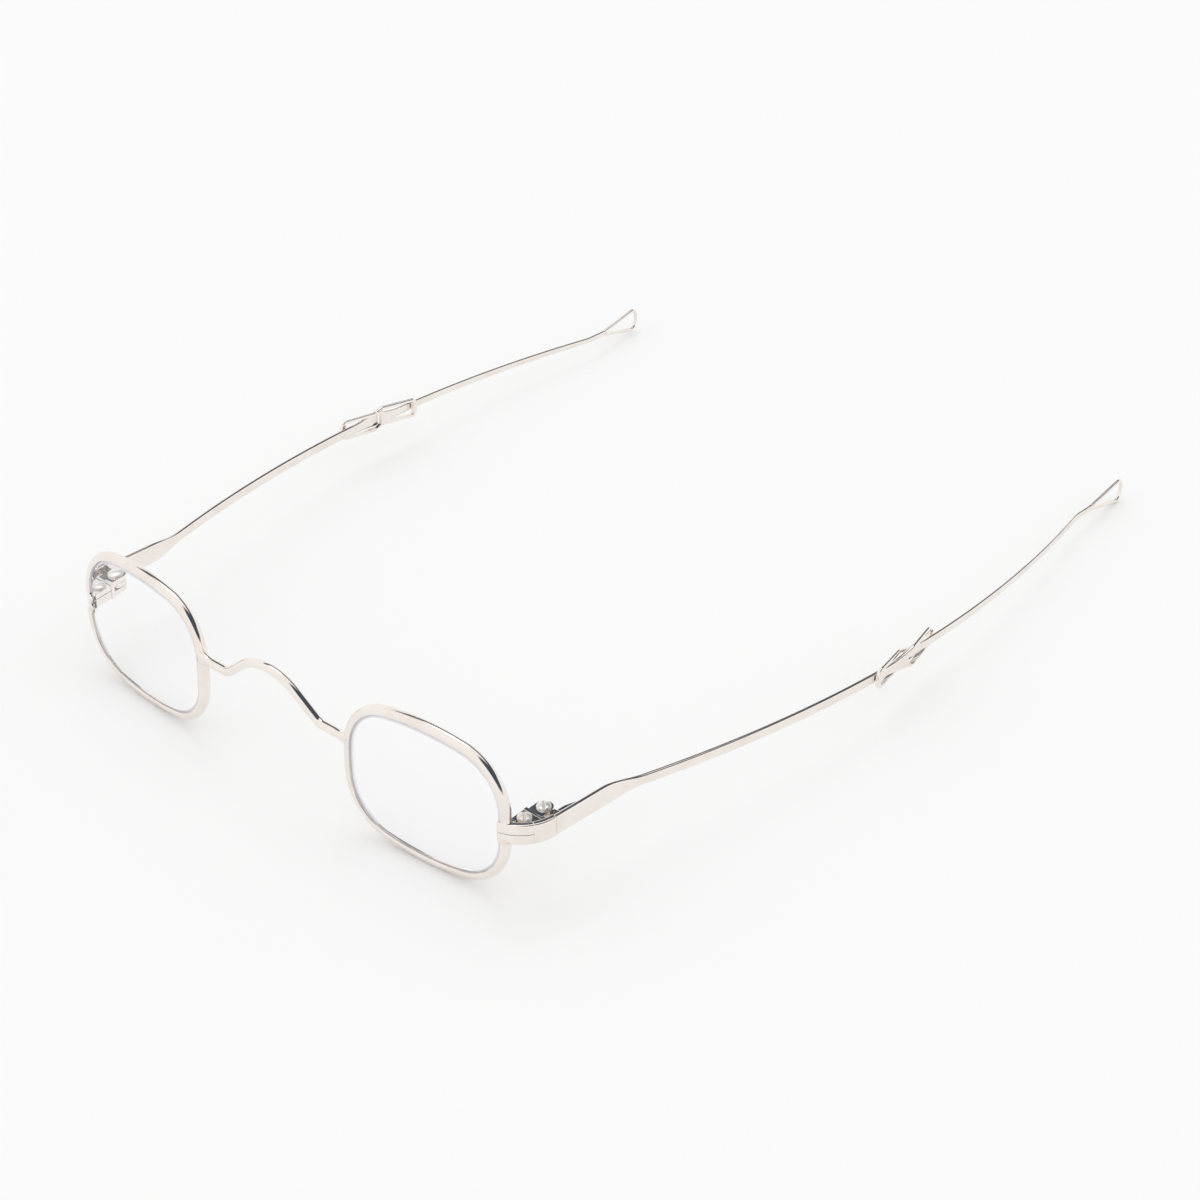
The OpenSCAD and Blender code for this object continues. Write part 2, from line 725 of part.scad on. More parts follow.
module temple_rear(side) {
    shoulder_s = rear_eye_s + eye_shoulder;
    end_s = bend_s(side);
    color(metal) on_side(side)
        in_temple(side) {
            intersection() {
                translate([bow_c[0], bow_c[1], 0])
                    arc_bar(rear_radius, rear_t, 2 * rear_h, phi(rear_eye_s + plug), phi(end_s), bow_fn);
                translate([-past, 0, 0])
                    rotate([90, 0, 90])
                        linear_extrude(3 * past)
                            polygon([
                                [shoulder_s - past, -rear_h / 2], [shoulder_s, -rear_h / 2],
                                [end_s, -rear_end_h / 2], [end_s, rear_end_h / 2],
                                [shoulder_s, rear_h / 2], [shoulder_s - past, rear_h / 2]
                            ]);
            }
            at_bow(rear_eye_s) mirror([0, 1, 0]) eye(rear_radius, rear_t, rear_h, 2 * strip_step);
        }
}

// Wire loop with rounded corners in its own plane, starting at the origin along X
module loop_wires() {
    wire_r = loop_wire / 2;
    reach = plug / loop_corner_radius * 180 / PI;
    translate([loop_end_u, 0, 0])
        wire_arc(loop_end_radius, wire_r, -loop_turn, loop_turn);
    for (m = [0, 1]) mirror([0, m, 0]) {
        translate([loop_reach, loop_cw, 0])
            wire_arc(loop_corner_radius, wire_r - slimmer, loop_turn - reach, 90 + loop_rise + reach);
        translate([0, loop_split, 0])
            rotate([0, 90, loop_rise])
                cylinder(r = wire_r, h = sqrt(pow(loop_far, 2) - pow(loop_corner_radius, 2)), $fn = small_fn);
    }
}

module tip_loop(side) {
    color(metal) on_side(side)
        in_temple(side) at_bow(bend_s(side)) {
            translate([rear_radius + flare_radius, 0, 0])
                arc_bar(flare_radius, rear_t, rear_end_h, 180 - flare, 180, rim_fn);
            translate([rear_radius + flare_radius * (1 - cos(flare)), flare_radius * sin(flare), 0])
                rotate([0, 0, -flare]) {
                    translate([(slimmer - rear_t) / 2, -plug, (slimmer - rear_end_h) / 2])
                        cube([rear_t - slimmer, flare_straight + 2 * plug, rear_end_h - slimmer]);
                    translate([0, flare_straight, 0])
                        rotate([90, 0, 90])
                            loop_wires();
                }
        }
}

rim(1);  // rim_left
rim(-1);  // rim_right
lens(1);  // lens_left
lens(-1);  // lens_right
bridge();
endpiece(1);  // endpiece_left
endpiece(-1);  // endpiece_right
closing_block_upper(1);  // closing_block_upper_left
closing_block_lower(1);  // closing_block_lower_left
closing_block_upper(-1);  // closing_block_upper_right
closing_block_lower(-1);  // closing_block_lower_right
closing_screw(1);  // closing_screw_left
closing_screw(-1);  // closing_screw_right
hinge_screw(1);  // hinge_screw_left
hinge_screw(-1);  // hinge_screw_right
hinge_leaf_front(1);  // hinge_leaf_front_left
hinge_leaf_front(-1);  // hinge_leaf_front_right
hinge_leaf_temple(1);  // hinge_leaf_temple_left
hinge_leaf_temple(-1);  // hinge_leaf_temple_right
temple_front(1);  // temple_front_left
temple_front(-1);  // temple_front_right
temple_rear(1);  // temple_rear_left
temple_rear(-1);  // temple_rear_right
tip_loop(1);  // tip_loop_left
tip_loop(-1);  // tip_loop_right
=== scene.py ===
"""Looks for reading glasses with rounded rims, a wire bridge and sliding temples."""

import math
from types import SimpleNamespace

import bpy
import numpy as np
from bpy.props import FloatProperty, FloatVectorProperty, PointerProperty
from bpy.types import NodeSocket, Operator, Panel, PropertyGroup
from mathutils import Matrix, Vector


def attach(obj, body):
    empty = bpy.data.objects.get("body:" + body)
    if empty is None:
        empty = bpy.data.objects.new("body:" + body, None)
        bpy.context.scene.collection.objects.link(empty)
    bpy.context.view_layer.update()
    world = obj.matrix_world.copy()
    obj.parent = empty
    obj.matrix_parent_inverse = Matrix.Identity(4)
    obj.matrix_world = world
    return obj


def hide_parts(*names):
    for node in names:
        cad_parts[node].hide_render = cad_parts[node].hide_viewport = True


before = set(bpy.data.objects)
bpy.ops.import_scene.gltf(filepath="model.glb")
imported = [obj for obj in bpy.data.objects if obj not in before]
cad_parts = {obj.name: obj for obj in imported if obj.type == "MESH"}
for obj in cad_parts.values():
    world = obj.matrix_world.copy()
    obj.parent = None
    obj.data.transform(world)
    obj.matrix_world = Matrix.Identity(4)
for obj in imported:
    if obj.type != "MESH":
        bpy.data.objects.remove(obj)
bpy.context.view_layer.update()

bl_info = {
    "name": "Reading glasses with sliding temples",
    "version": (1, 0, 0),
    "blender": (4, 5, 0),
    "location": "3D View > Sidebar > Glasses",
    "description": "Builds the wires, strips, lenses and finishes of small reading glasses",
    "category": "Object",
}

MM = 0.001
HAIR = 0.02 * MM
LEFT, RIGHT = 1, -1
SIDES = {LEFT: "left", RIGHT: "right"}
RIM_EDGE, BLOCK_EDGE, LEAF_EDGE, STRIP_EDGE = 0.07 * MM, 0.1 * MM, 0.08 * MM, 0.05 * MM
WIRE, STRIP, SCREW = "polished wire", "polished strip", "turned screw"
NODE_STEP = 200
FINE, COARSE = 0.6 * MM, 1.2 * MM
ROUNDING_STEPS, CREASE = 4, math.radians(32)


def number(name, description, value, **more):
    """A number property."""
    return FloatProperty(name=name, description=description, default=value, **more)


def mm(name, description, value):
    """A length property, with its default in millimetres."""
    return number(name, description, value * MM, unit="LENGTH", precision=5)


def degrees(name, description, value):
    """An angle property, with its default in degrees."""
    return number(name, description, math.radians(value), subtype="ANGLE", unit="ROTATION")


def share(name, description, value):
    """A property from 0 to 1."""
    return number(name, description, value, min=0, max=1, subtype="FACTOR")


def amount(name, description, value):
    """A property that is never negative."""
    return number(name, description, value, min=0)


def colour(name, description, value):
    """A colour property."""
    return FloatVectorProperty(name=name, description=description, default=value, size=3,
                               min=0, max=1, subtype="COLOR")


class RimSizes(PropertyGroup):
    """Sizes of the two rims."""

    spacing: mm("Spacing", "Distance between the rims' centres", 64.2)
    width: mm("Width", "Width between the wire's centres", 30.6)
    height: mm("Height", "Height between the wire's centres", 24.1)
    top_radius: mm("Top radius", "Radius of the nearly flat top and bottom", 45)
    side_radius: mm("Side radius", "Radius of the nearly flat sides", 43)
    corner_radius: mm("Corner radius", "Radius of the rounded corners", 9.2)
    wire_radius: mm("Wire radius", "Radius of the round outer face", 0.95)
    inner_face: mm("Inner face", "Distance of the flat inner face from the wire's centre", 0.45)
    groove_depth: mm("Groove depth", "Depth of the lens groove", 0.3)
    groove_width: mm("Groove width", "Width of the lens groove", 0.6)
    wrap: degrees("Wrap", "Turn of each rim to the back", 4.1)
    lean: degrees("Lean", "Lean of the top to the back", 2.5)
    inner_edge: mm("Inner edge", "Rounding of the inner face's edges", 0.2)
    solder: mm("Solder", "Swelling of the wire's soldered ends", 0.12)


class LensSizes(PropertyGroup):
    """Sizes of the two lenses."""

    edge: mm("Edge", "Thickness at the edge", 1.1)
    front_radius: mm("Front radius", "Radius of the domed front face", 140)
    back_radius: mm("Back radius", "Radius of the hollow back face", 240)
    ridge: mm("Ridge", "Width of the ridge round the edge", 0.5)
    gap: mm("Gap", "Clearance to the rim", 0.02)
    bevel: mm("Bevel", "Width of the ground bevels round both faces", 0.42)
    bevel_depth: mm("Bevel depth", "Depth of the ground bevels at the edge", 0.27)


class BridgeSizes(PropertyGroup):
    """Sizes of the bridge wire."""

    wire_radius: mm("Wire radius", "Radius of the wire", 0.8)
    height: mm("Height", "Height of the side arms above the rims' centres", 3.15)
    rise: mm("Rise", "Rise of the arch above the side arms", 5.95)
    arch_radius: mm("Arch radius", "Radius of the arch", 9.6)
    slope: degrees("Slope", "Slope at which the arch comes down to the arms", 41)
    bend_radius: mm("Bend radius", "Radius of the bend between arch and arm", 2)
    lean: degrees("Lean", "Lean of the arch to the front", 5)
    solder: mm("Solder", "Spread of the solder along the rim", 0.4)


class EndpieceSizes(PropertyGroup):
    """Sizes of the curved endpieces."""

    radius: mm("Radius", "Outer radius of the curve", 7.4)
    thickness: mm("Thickness", "Thickness of the strap", 1.0)
    height: mm("Height", "Height of the strap and of the temple's start", 3.6)
    overlap: mm("Overlap", "Reach of the strap inside the rim wire's centre", 0.9)
    proud: mm("Proud", "Distance of the strap ahead of the rim's middle plane", 0.95)
    start: degrees("Start", "Start of the strap, from straight ahead", 12.7)
    short: mm("Short", "Distance by which the strap ends short of its centre", 0.4)
    drop: mm("Drop", "Distance of the middle below the rim's centre", 0.2)
    saw_cut_reach: mm("Saw cut reach", "Reach of the saw cut out past the centre", 6.2)
    saw_cut_width: mm("Saw cut width", "Width of the saw cut", 0.08)
    edge: mm("Edge", "Rounding of the long edges", 0.24)


class HingeSizes(PropertyGroup):
    """Sizes of the closing blocks, screws and hinge leaves."""

    block_top: mm("Block top", "Height of the upper block above the saw cut", 1.0)
    block_bottom: mm("Block bottom", "Depth of the lower block below the saw cut", 1.5)
    block_inside: mm("Block inside", "Start of the blocks inside the rim wire's centre", 0.7)
    block_ahead: mm("Block ahead", "Start of the blocks ahead of the rim wire's centre", 0.4)
    post_depth: mm("Post depth", "Depth of the post that holds the rim's end", 1.6)
    head_radius: mm("Head radius", "Radius of the screw heads", 1.15)
    head_height: mm("Head height", "Height of the screw heads", 0.5)
    shank_radius: mm("Shank radius", "Radius of the screw shanks", 0.6)
    slot_width: mm("Slot width", "Width of the screw slots", 0.35)
    slot_angle: degrees("Slot angle", "Angle of the slots seen from above", 45)
    screw_pitch: mm("Screw pitch", "Closing screw's distance ahead of the hinge screw", 3.75)
    screw_inside: mm("Screw inside", "Closing screw's distance inside the hinge screw", 0.5)
    inset: mm("Inset", "Distance of the hinge screw inside the outer face", 3.6)
    behind: mm("Behind", "Distance of the hinge screw behind the endpiece", 1.15)
    knuckle_radius: mm("Knuckle radius", "Radius of the knuckles", 1.5)
    knuckle_middle: mm("Middle knuckle", "Height of the middle knuckle", 0.95)
    knuckle_low: mm("Knuckle low", "Underside of the middle knuckle above the middle", -0.8)
    leaf_thickness: mm("Leaf thickness", "Thickness of the leaves", 0.65)
    leaf_length: mm("Leaf length", "Length of the temple's leaf", 3.7)
    tilt: degrees("Tilt", "Lean of the hinge screw's lower end to the outside", 2)
    gap: mm("Gap", "Clearance between the knuckles", 0.05)


class TempleSizes(PropertyGroup):
    """Sizes of the two-part temples."""

    front_thickness: mm("Front thickness", "Thickness of the front strip", 0.8)
    front_height: mm("Front height", "Height of the front strip", 1.8)
    plate_length: mm("Plate length", "Length of the straight plate at the hinge", 10)
    plate_out: degrees("Plate out", "Turn of the plate to the outside", 1)
    left_open: degrees("Left open", "Angle by which the left temple opens further", 0.6)
    kink_radius: mm("Kink radius", "Radius of the outward bend behind the plate", 27)
    splay: degrees("Splay", "Turn of the strip to the outside behind the bend", 15.4)
    bow_radius: mm("Bow radius", "Bend radius of the strips", 252)
    front_length: mm("Front length", "Length of the front piece", 85.2)
    taper_length: mm("Taper length", "Length over which the plate narrows", 8)
    rear_thickness: mm("Rear thickness", "Thickness of the rear strip", 0.6)
    rear_height: mm("Rear height", "Height of the rear strip behind its eye", 1.5)
    end_height: mm("End height", "Height of the rear strip at the tip", 1.1)
    rear_length: mm("Rear length", "Length of the rear piece up to its loop", 77)
    eyes_apart: mm("Eyes apart", "Distance between the eyes' outer ends, drawn out", 18)
    edge_share: share("Edge share", "Rounding of the long edges, by thickness", 0.42)
    strip_gap: mm("Strip gap", "Gap between the two strips", 0.15)
    eye_height: mm("Eye height", "Height of the eyes", 4.0)
    window_height: mm("Window height", "Height of the window in an eye", 2.8)
    eye_bar: mm("Eye bar", "Width of the bar across an eye's end", 0.9)
    eye_shoulder: mm("Eye shoulder", "Length over which a strip widens to its eye", 8)
    eye_ramp: mm("Eye ramp", "Length over which an eye steps over the other strip", 6.6)
    eye_flat: mm("Eye flat", "Length of the eye behind its ramp", 1.0)
    eye_corner: mm("Eye corner", "Radius of the eye's outer corners", 1.2)
    window_start: mm("Window start", "Start of the window ahead of the ramp", 1.5)
    window_full: mm("Window full", "Start of its full height ahead of the ramp", 0.3)
    right_shorter: mm("Right shorter", "Length that the right rear piece lacks", 6.5)


class TipSizes(PropertyGroup):
    """Sizes of the wire loops at the tips."""

    wire_radius: mm("Wire radius", "Radius of the wire", 0.35)
    height: mm("Height", "Height of the loop over its wire", 4.9)
    reach: mm("Reach", "Distance from the fork to the corners' centres", 9)
    corner_radius: mm("Corner radius", "Radius of the corners", 1.3)
    end_radius: mm("End radius", "Radius of the loop's end", 3.2)
    flare: degrees("Flare", "Turn of the loop to the outside", 12)
    flare_radius: mm("Flare radius", "Radius of that bend", 12)
    straight: mm("Straight", "Length of the straight end of the strip", 3.8)


class FinishLook(PropertyGroup):
    """Colours and wear of the metal and the lenses."""

    metal: colour("Metal", "Colour of the polished metal", (0.903, 0.851, 0.806))
    # Painted shade: this colour darkens the metal in concave corners and slots, where shade falls.
    dull: colour("Dull metal", "Colour of the metal in corners and slots", (0.66, 0.62, 0.59))
    screw: colour("Screws", "Colour of the turned screws", (0.94, 0.91, 0.88))
    polish: share("Polish", "Roughness of the polished wire", 0.09)
    strip_polish: share("Strip polish", "Roughness of the strips' broad faces", 0.12)
    wear: share("Wear", "Strength of the rubbed edges and fine scratches", 0.5)
    glass: colour("Glass", "Tint of the lenses", (0.998, 0.998, 1.0))
    glass_edge: colour("Glass edge", "Colour of the lenses' ground edge", (0.95, 0.95, 1.0))
    smudges: share("Smudges", "Strength of the faint smudges on the lenses", 0.3)


class StageLook(PropertyGroup):
    """Table, light and camera."""

    table: colour("Table", "Colour of the table top", (0.957, 0.957, 0.957))
    sky: amount("Sky", "Brightness of the white room", 0.97)
    lamp: amount("Lamp", "Strength of the soft lamp", 0.14)
    lens: amount("Lens", "Focal length in millimetres", 74.37)
    azimuth: degrees("Azimuth", "Direction of the camera round the glasses", 41.35)
    elevation: degrees("Elevation", "Height of the camera above the horizon", 33.68)
    roll: degrees("Roll", "Turn of the camera about its own axis", -0.56)
    distance: mm("Distance", "Distance of the camera from the rims' middle", 388.71)
    across: mm("Across", "Sideways shift of the camera", 51.8)
    up: mm("Up", "Upward shift of the camera", 18.31)


class GlassesSettings(PropertyGroup):
    """All the sizes and looks of the glasses."""

    rim: PointerProperty(type=RimSizes)
    lens: PointerProperty(type=LensSizes)
    bridge: PointerProperty(type=BridgeSizes)
    endpiece: PointerProperty(type=EndpieceSizes)
    hinge: PointerProperty(type=HingeSizes)
    temple: PointerProperty(type=TempleSizes)
    tip: PointerProperty(type=TipSizes)
    finish: PointerProperty(type=FinishLook)
    stage: PointerProperty(type=StageLook)


def settings():
    """The scene's settings."""
    return bpy.context.scene.reading_glasses


def unit(turn):
    """Unit vectors at angles from the X axis."""
    return np.stack([np.cos(turn), np.sin(turn)], -1)


def quarter(vectors):
    """Plane vectors turned left by a quarter turn."""
    return np.stack([-vectors[..., 1], vectors[..., 0]], -1)


def round_wire(path, normal, high, ahead, count):
    """A wire along a plane path: an oval section, cosine times its normal and sine ahead."""
    turn = np.linspace(0, 2 * math.pi, count, endpoint=False)
    across = normal[:, None] * (high[:, None] * np.cos(turn))[..., None]
    return raised(path[:, None] + across, ahead[:, None] * np.sin(turn))


def ease(t):
    """Cosine ease from 0 to 1, held at both ends."""
    return (1 - np.cos(np.pi * np.clip(t, 0, 1))) / 2


def layout(s, side=LEFT):
    """Places worked out from the sizes: centres of arcs, seam, hinge axis and the temple line.

    They follow plane geometry: two circles' crossing for the rim's corners, points on circles for
    the endpiece and the bow, and the slope at which the tip loops come down to the table."""
    p = SimpleNamespace(side=side)
    rim, end, hinge, temple, tip = s.rim, s.endpiece, s.hinge, s.temple, s.tip
    a, b = rim.width / 2, rim.height / 2
    p.top_c = np.array([0, b - rim.top_radius])
    p.side_c = np.array([a - rim.side_radius, 0])
    ra, rb = rim.top_radius - rim.corner_radius, rim.side_radius - rim.corner_radius
    between = p.side_c - p.top_c
    d = np.linalg.norm(between)
    e = between / d
    along = (ra ** 2 - rb ** 2 + d ** 2) / (2 * d)
    p.corner_c = p.top_c + e * along + np.array([e[1], -e[0]]) * math.sqrt(ra ** 2 - along ** 2)
    p.rim_z = b * math.cos(rim.lean) + rim.wire_radius
    p.rim_x = rim.spacing / 2
    p.rim_y = p.rim_x * math.tan(rim.wrap)
    edge = p.rim_x + a
    p.band_c = np.array([
        edge - end.overlap - end.radius * math.sin(end.start),
        (edge - end.overlap) * math.tan(rim.wrap) - end.proud + end.radius * math.cos(end.start)])
    p.band_z = p.rim_z - end.drop
    p.seam_y = p.band_c[1] - end.short
    p.seam_x = p.band_c[0] + math.sqrt(end.radius ** 2 - end.short ** 2)
    p.hinge_x = p.seam_x - hinge.inset
    p.hinge_y = p.seam_y + hinge.behind
    knuckle_clear = 0.25 * MM
    p.leaf_back = p.hinge_y - hinge.knuckle_radius - knuckle_clear
    p.leaf_front = p.leaf_back - hinge.leaf_thickness
    p.block_x = edge - hinge.block_inside
    p.block_front = edge * math.tan(rim.wrap) - hinge.block_ahead
    p.post_back = p.block_front + hinge.post_depth
    p.post_x = edge + rim.wire_radius
    start = temple.plate_length * np.array([math.sin(temple.plate_out), math.cos(temple.plate_out)])
    p.kink_c = start + temple.kink_radius * unit(-temple.plate_out)
    arc_start = p.kink_c - temple.kink_radius * unit(-temple.splay)
    p.arc_s = temple.plate_length + temple.kink_radius * (temple.splay - temple.plate_out)
    p.bow_c = arc_start - temple.bow_radius * unit(-temple.splay)
    p.step = (temple.front_thickness + temple.rear_thickness) / 2 + temple.strip_gap
    p.rear_radius = temple.bow_radius - p.step
    p.eye_reach = temple.eye_ramp + temple.eye_flat
    p.front_eye = temple.front_length - p.eye_reach
    p.rear_eye = temple.front_length - temple.eyes_apart + p.eye_reach
    loop_s = temple.front_length - temple.eyes_apart + temple.rear_length
    flare_s = loop_s - tip.straight - tip.flare_radius * tip.flare
    p.bend = flare_s - (temple.right_shorter if side == RIGHT else 0)
    p.loop_c = tip.height / 2 - tip.wire_radius - tip.corner_radius
    p.loop_end = tip.reach - math.sqrt((tip.end_radius - tip.corner_radius) ** 2 - p.loop_c ** 2)
    turn = bow_turn(p, temple, flare_s)
    flare_end = (p.bow_c[1]
                 + (p.rear_radius + tip.flare_radius * (1 - math.cos(tip.flare))) * math.sin(turn)
                 + tip.flare_radius * math.sin(tip.flare) * math.cos(turn)
                 + tip.straight * math.cos(turn - tip.flare))
    low_y = flare_end + tip.reach * math.cos(turn - tip.flare)
    drop = p.band_z - tip.corner_radius - tip.wire_radius
    p.pitch = math.asin(drop / math.hypot(low_y, p.loop_c)) - math.atan2(p.loop_c, low_y)
    p.bridge_y = (p.rim_x - a - rim.wire_radius) * math.tan(rim.wrap)
    front = p.bridge_y - s.bridge.rise * math.sin(s.bridge.lean) - s.bridge.wire_radius
    back = (p.seam_y + (flare_end + p.loop_end * math.cos(turn - tip.flare)) * math.cos(p.pitch)
            + tip.end_radius + tip.wire_radius)
    p.middle_y = (front + back) / 2
    return p


def bow_turn(p, temple, s):
    """Angle about the bow's centre at a length along the temple."""
    return (s - p.arc_s) / temple.bow_radius - temple.splay


def turned(points, turn, axis):
    """Points turned about a coordinate axis: the two other coordinates mix by cosine and sine."""
    i, j = (axis + 1) % 3, (axis + 2) % 3
    out = np.array(points, float)
    out[..., i] = points[..., i] * math.cos(turn) - points[..., j] * math.sin(turn)
    out[..., j] = points[..., i] * math.sin(turn) + points[..., j] * math.cos(turn)
    return out


def in_rim(s, p, points):
    """A flat rim's points, facing +Z, set upright in its place on the left."""
    upright = turned(points, math.pi / 2 - s.rim.lean, 0)
    return turned(upright, s.rim.wrap, 2) + [p.rim_x, p.rim_y, p.rim_z]


def in_temple(s, p, points):
    """Points of a temple's own sloping plane, set at its hinge."""
    sloped = turned(points, -p.pitch, 0) + [
        p.seam_x - s.temple.front_thickness / 2 - p.hinge_x, p.seam_y - p.hinge_y, p.band_z]
    opened = turned(sloped, -s.temple.left_open if p.side == LEFT else 0, 2)
    return opened + [p.hinge_x, p.hinge_y, 0]


def on_hinge(s, p, points):
    """Points about the leaning hinge axis, with Z = 0 at the endpiece's middle."""
    return turned(points, -s.hinge.tilt, 1) + [p.hinge_x, p.hinge_y, p.band_z]


def outward(points, faces):
    """The faces of a closed surface, turned over if its signed volume is negative."""
    volume = 0.0
    for group in faces:
        for k in range(1, group.shape[1] - 1):
            a, b, c = points[group[:, 0]], points[group[:, k]], points[group[:, k + 1]]
            volume += np.einsum("ij,ij->", a, np.cross(b, c))
    return faces if volume > 0 else [group[:, ::-1] for group in faces]


def raised(plan, height):
    """Points with their places in plan and their heights."""
    height = np.asarray(height)
    out = np.empty((*np.broadcast_shapes(plan.shape[:-1], height.shape), 3))
    out[..., :2], out[..., 2] = plan, height
    return out


def quads(n, m, closed=True):
    """Corner numbers of the quads between n rings of m points, or between n open rows."""
    i, j = np.meshgrid(np.arange(n - 1), np.arange(m if closed else m - 1), indexing="ij")
    k = (j + 1) % m
    return np.stack([i * m + j, i * m + k, (i + 1) * m + k, (i + 1) * m + j], -1).reshape(-1, 4)


def tube(rings):
    """A section carried along an open path: rings of points joined by quads, with capped ends."""
    n, m = rings.shape[:2]
    points = rings.reshape(-1, 3)
    ends = np.stack([np.arange(m)[::-1], np.arange(m) + (n - 1) * m])
    return points, outward(points, [quads(n, m), ends])


def prism(outline, low, high):
    """An upright block: its outline at two heights, joined by quads and closed by flat faces."""
    return tube(raised(outline, [[low], [high]]))


def shell(front, back, filled):
    """A plate between two grids of points, with a wall wherever filled cells meet open ones."""
    n, m = front.shape[:2]
    points = np.concatenate([front.reshape(-1, 3), back.reshape(-1, 3)])
    at = np.arange(n * m).reshape(n, m)
    behind = n * m
    i, j = np.nonzero(filled)
    face = np.stack([at[i, j], at[i + 1, j], at[i + 1, j + 1], at[i, j + 1]], -1)
    faces = [face, face[:, ::-1] + behind]
    wide = np.pad(filled, 1).astype(int)
    for step, axis in ((np.diff(wide[:, 1:-1], axis=0), 0), (np.diff(wide[1:-1], axis=1), 1)):
        i, j = np.nonzero(step)
        a, b = at[i, j], at[i + (axis == 1), j + (axis == 0)]
        wall = np.stack([a, a + behind, b + behind, b], -1)
        inward = (step[i, j] > 0) == (axis == 0)
        faces.append(np.where(inward[:, None], wall[:, ::-1], wall))
    used, index = np.unique(np.concatenate(faces), return_inverse=True)
    return points[used], outward(points[used], [index.reshape(-1, 4)])


def spread(*stops, step):
    """Sorted places from one stop to the next, at most the given distance apart."""
    parts = [np.linspace(a, b, max(2, int(math.ceil((b - a) / step)) + 1))
             for a, b in zip(stops[:-1], stops[1:])]
    return np.unique(np.concatenate(parts).round(9))


def shown(name, data):
    """An object in the scene."""
    thing = bpy.data.objects.new(name, data)
    bpy.context.scene.collection.objects.link(thing)
    return thing


def made(p, name, parts, look, body, replaced, edge=0):
    """A piece from closed surfaces: mirrored for the right side, and its edges rounded."""
    points, polygons, start = [], [], 0
    for part_points, faces in parts:
        points.append((part_points - [0, p.middle_y, 0]) * [p.side, 1, 1])
        for group in faces:
            polygons += (group[:, ::p.side] + start).tolist()
        start += len(part_points)
    mesh = bpy.data.meshes.new(name)
    mesh.from_pydata(np.concatenate(points), [], polygons)
    mesh.polygons.foreach_set("use_smooth", np.ones(len(mesh.polygons), bool))
    mesh.materials.append(look)
    mesh.validate()
    piece = shown(name, mesh)
    if edge:
        rounding = piece.modifiers.new("rounded edges", "BEVEL")
        rounding.width = edge
        rounding.segments = ROUNDING_STEPS
        rounding.limit_method = "ANGLE"
        rounding.angle_limit = CREASE
        rounding.harden_normals = True
    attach(piece, body)
    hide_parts(replaced)
    return piece


def rim_outline(s, p, inset, fine):
    """Points and outward normals of the rim's outline, round from its middle on the right.

    Eight arcs in turn, the first in two halves: each point is its arc's centre plus the radius,
    less the inset, at an angle."""
    half, turn = math.pi, 2 * math.pi
    top = math.atan2(*(p.corner_c - p.top_c)[::-1])
    side = math.atan2(*(p.corner_c - p.side_c)[::-1])
    x, y = p.corner_c
    wide, high, corner = s.rim.side_radius, s.rim.top_radius, s.rim.corner_radius
    arcs = [
        (p.side_c, wide, 0, side), ((x, y), corner, side, top),
        (p.top_c, high, top, half - top), ((-x, y), corner, half - top, half - side),
        (-p.side_c, wide, half - side, half + side), ((-x, -y), corner, half + side, half + top),
        (-p.top_c, high, half + top, turn - top), ((x, -y), corner, turn - top, turn - side),
        (p.side_c, wide, turn - side, turn)]
    points, normals = [], []
    for centre, radius, start, stop in arcs:
        angles = np.linspace(start, stop, int(radius * (stop - start) / fine) + 3)[:-1]
        normals.append(unit(angles))
        points.append(np.array(centre) + (radius - inset) * unit(angles))
    return np.concatenate(points), np.concatenate(normals)


def rim_wire(s, p):
    """The rim: a round section with a flat, grooved inner face, carried round the outline.

    The section swells as a falling exponential towards its two soldered ends."""
    path, normal = rim_outline(s, p, 0, 0.5 * MM)
    grip, solder_reach = 0.3 * MM, 0.45 * MM
    drop = s.endpiece.drop / math.cos(s.rim.lean)
    upper = s.endpiece.height / 2 - drop - grip
    lower = -s.endpiece.height / 2 - drop + grip
    keep = ~((path[:, 0] > 0) & (path[:, 1] < upper) & (path[:, 1] > lower))
    path, normal = path[keep], normal[keep]
    from_end = np.where(path[:, 1] > 0, path[:, 1] - upper, lower - path[:, 1])
    swell = np.where(path[:, 0] > 0, s.rim.solder * np.exp(-np.abs(from_end) / solder_reach), 0)
    radius, inner, soft = s.rim.wire_radius, s.rim.inner_face, s.rim.inner_edge
    corner = np.array([soft - inner, math.sqrt((radius - soft) ** 2 - (soft - inner) ** 2)])
    open_angle = math.atan2(corner[1], corner[0])
    fillet = corner + soft * unit(np.linspace(open_angle, math.pi, 8)[1:])
    half, depth = s.rim.groove_width / 2, s.rim.groove_depth - inner
    section = np.concatenate([
        radius * unit(np.linspace(-open_angle, open_angle, 41)), fillet,
        [[-inner, half], [depth, half], [depth, -half], [-inner, -half]], fillet[::-1] * [1, -1]])
    out, ahead = section[:, 0], section[:, 1]
    grow = 1 + swell[:, None] / radius * (out > 0)
    points, faces = tube(raised(
        path[:, None] + normal[:, None] * (out * grow)[..., None], ahead * grow))
    return [(in_rim(s, p, points), faces)]


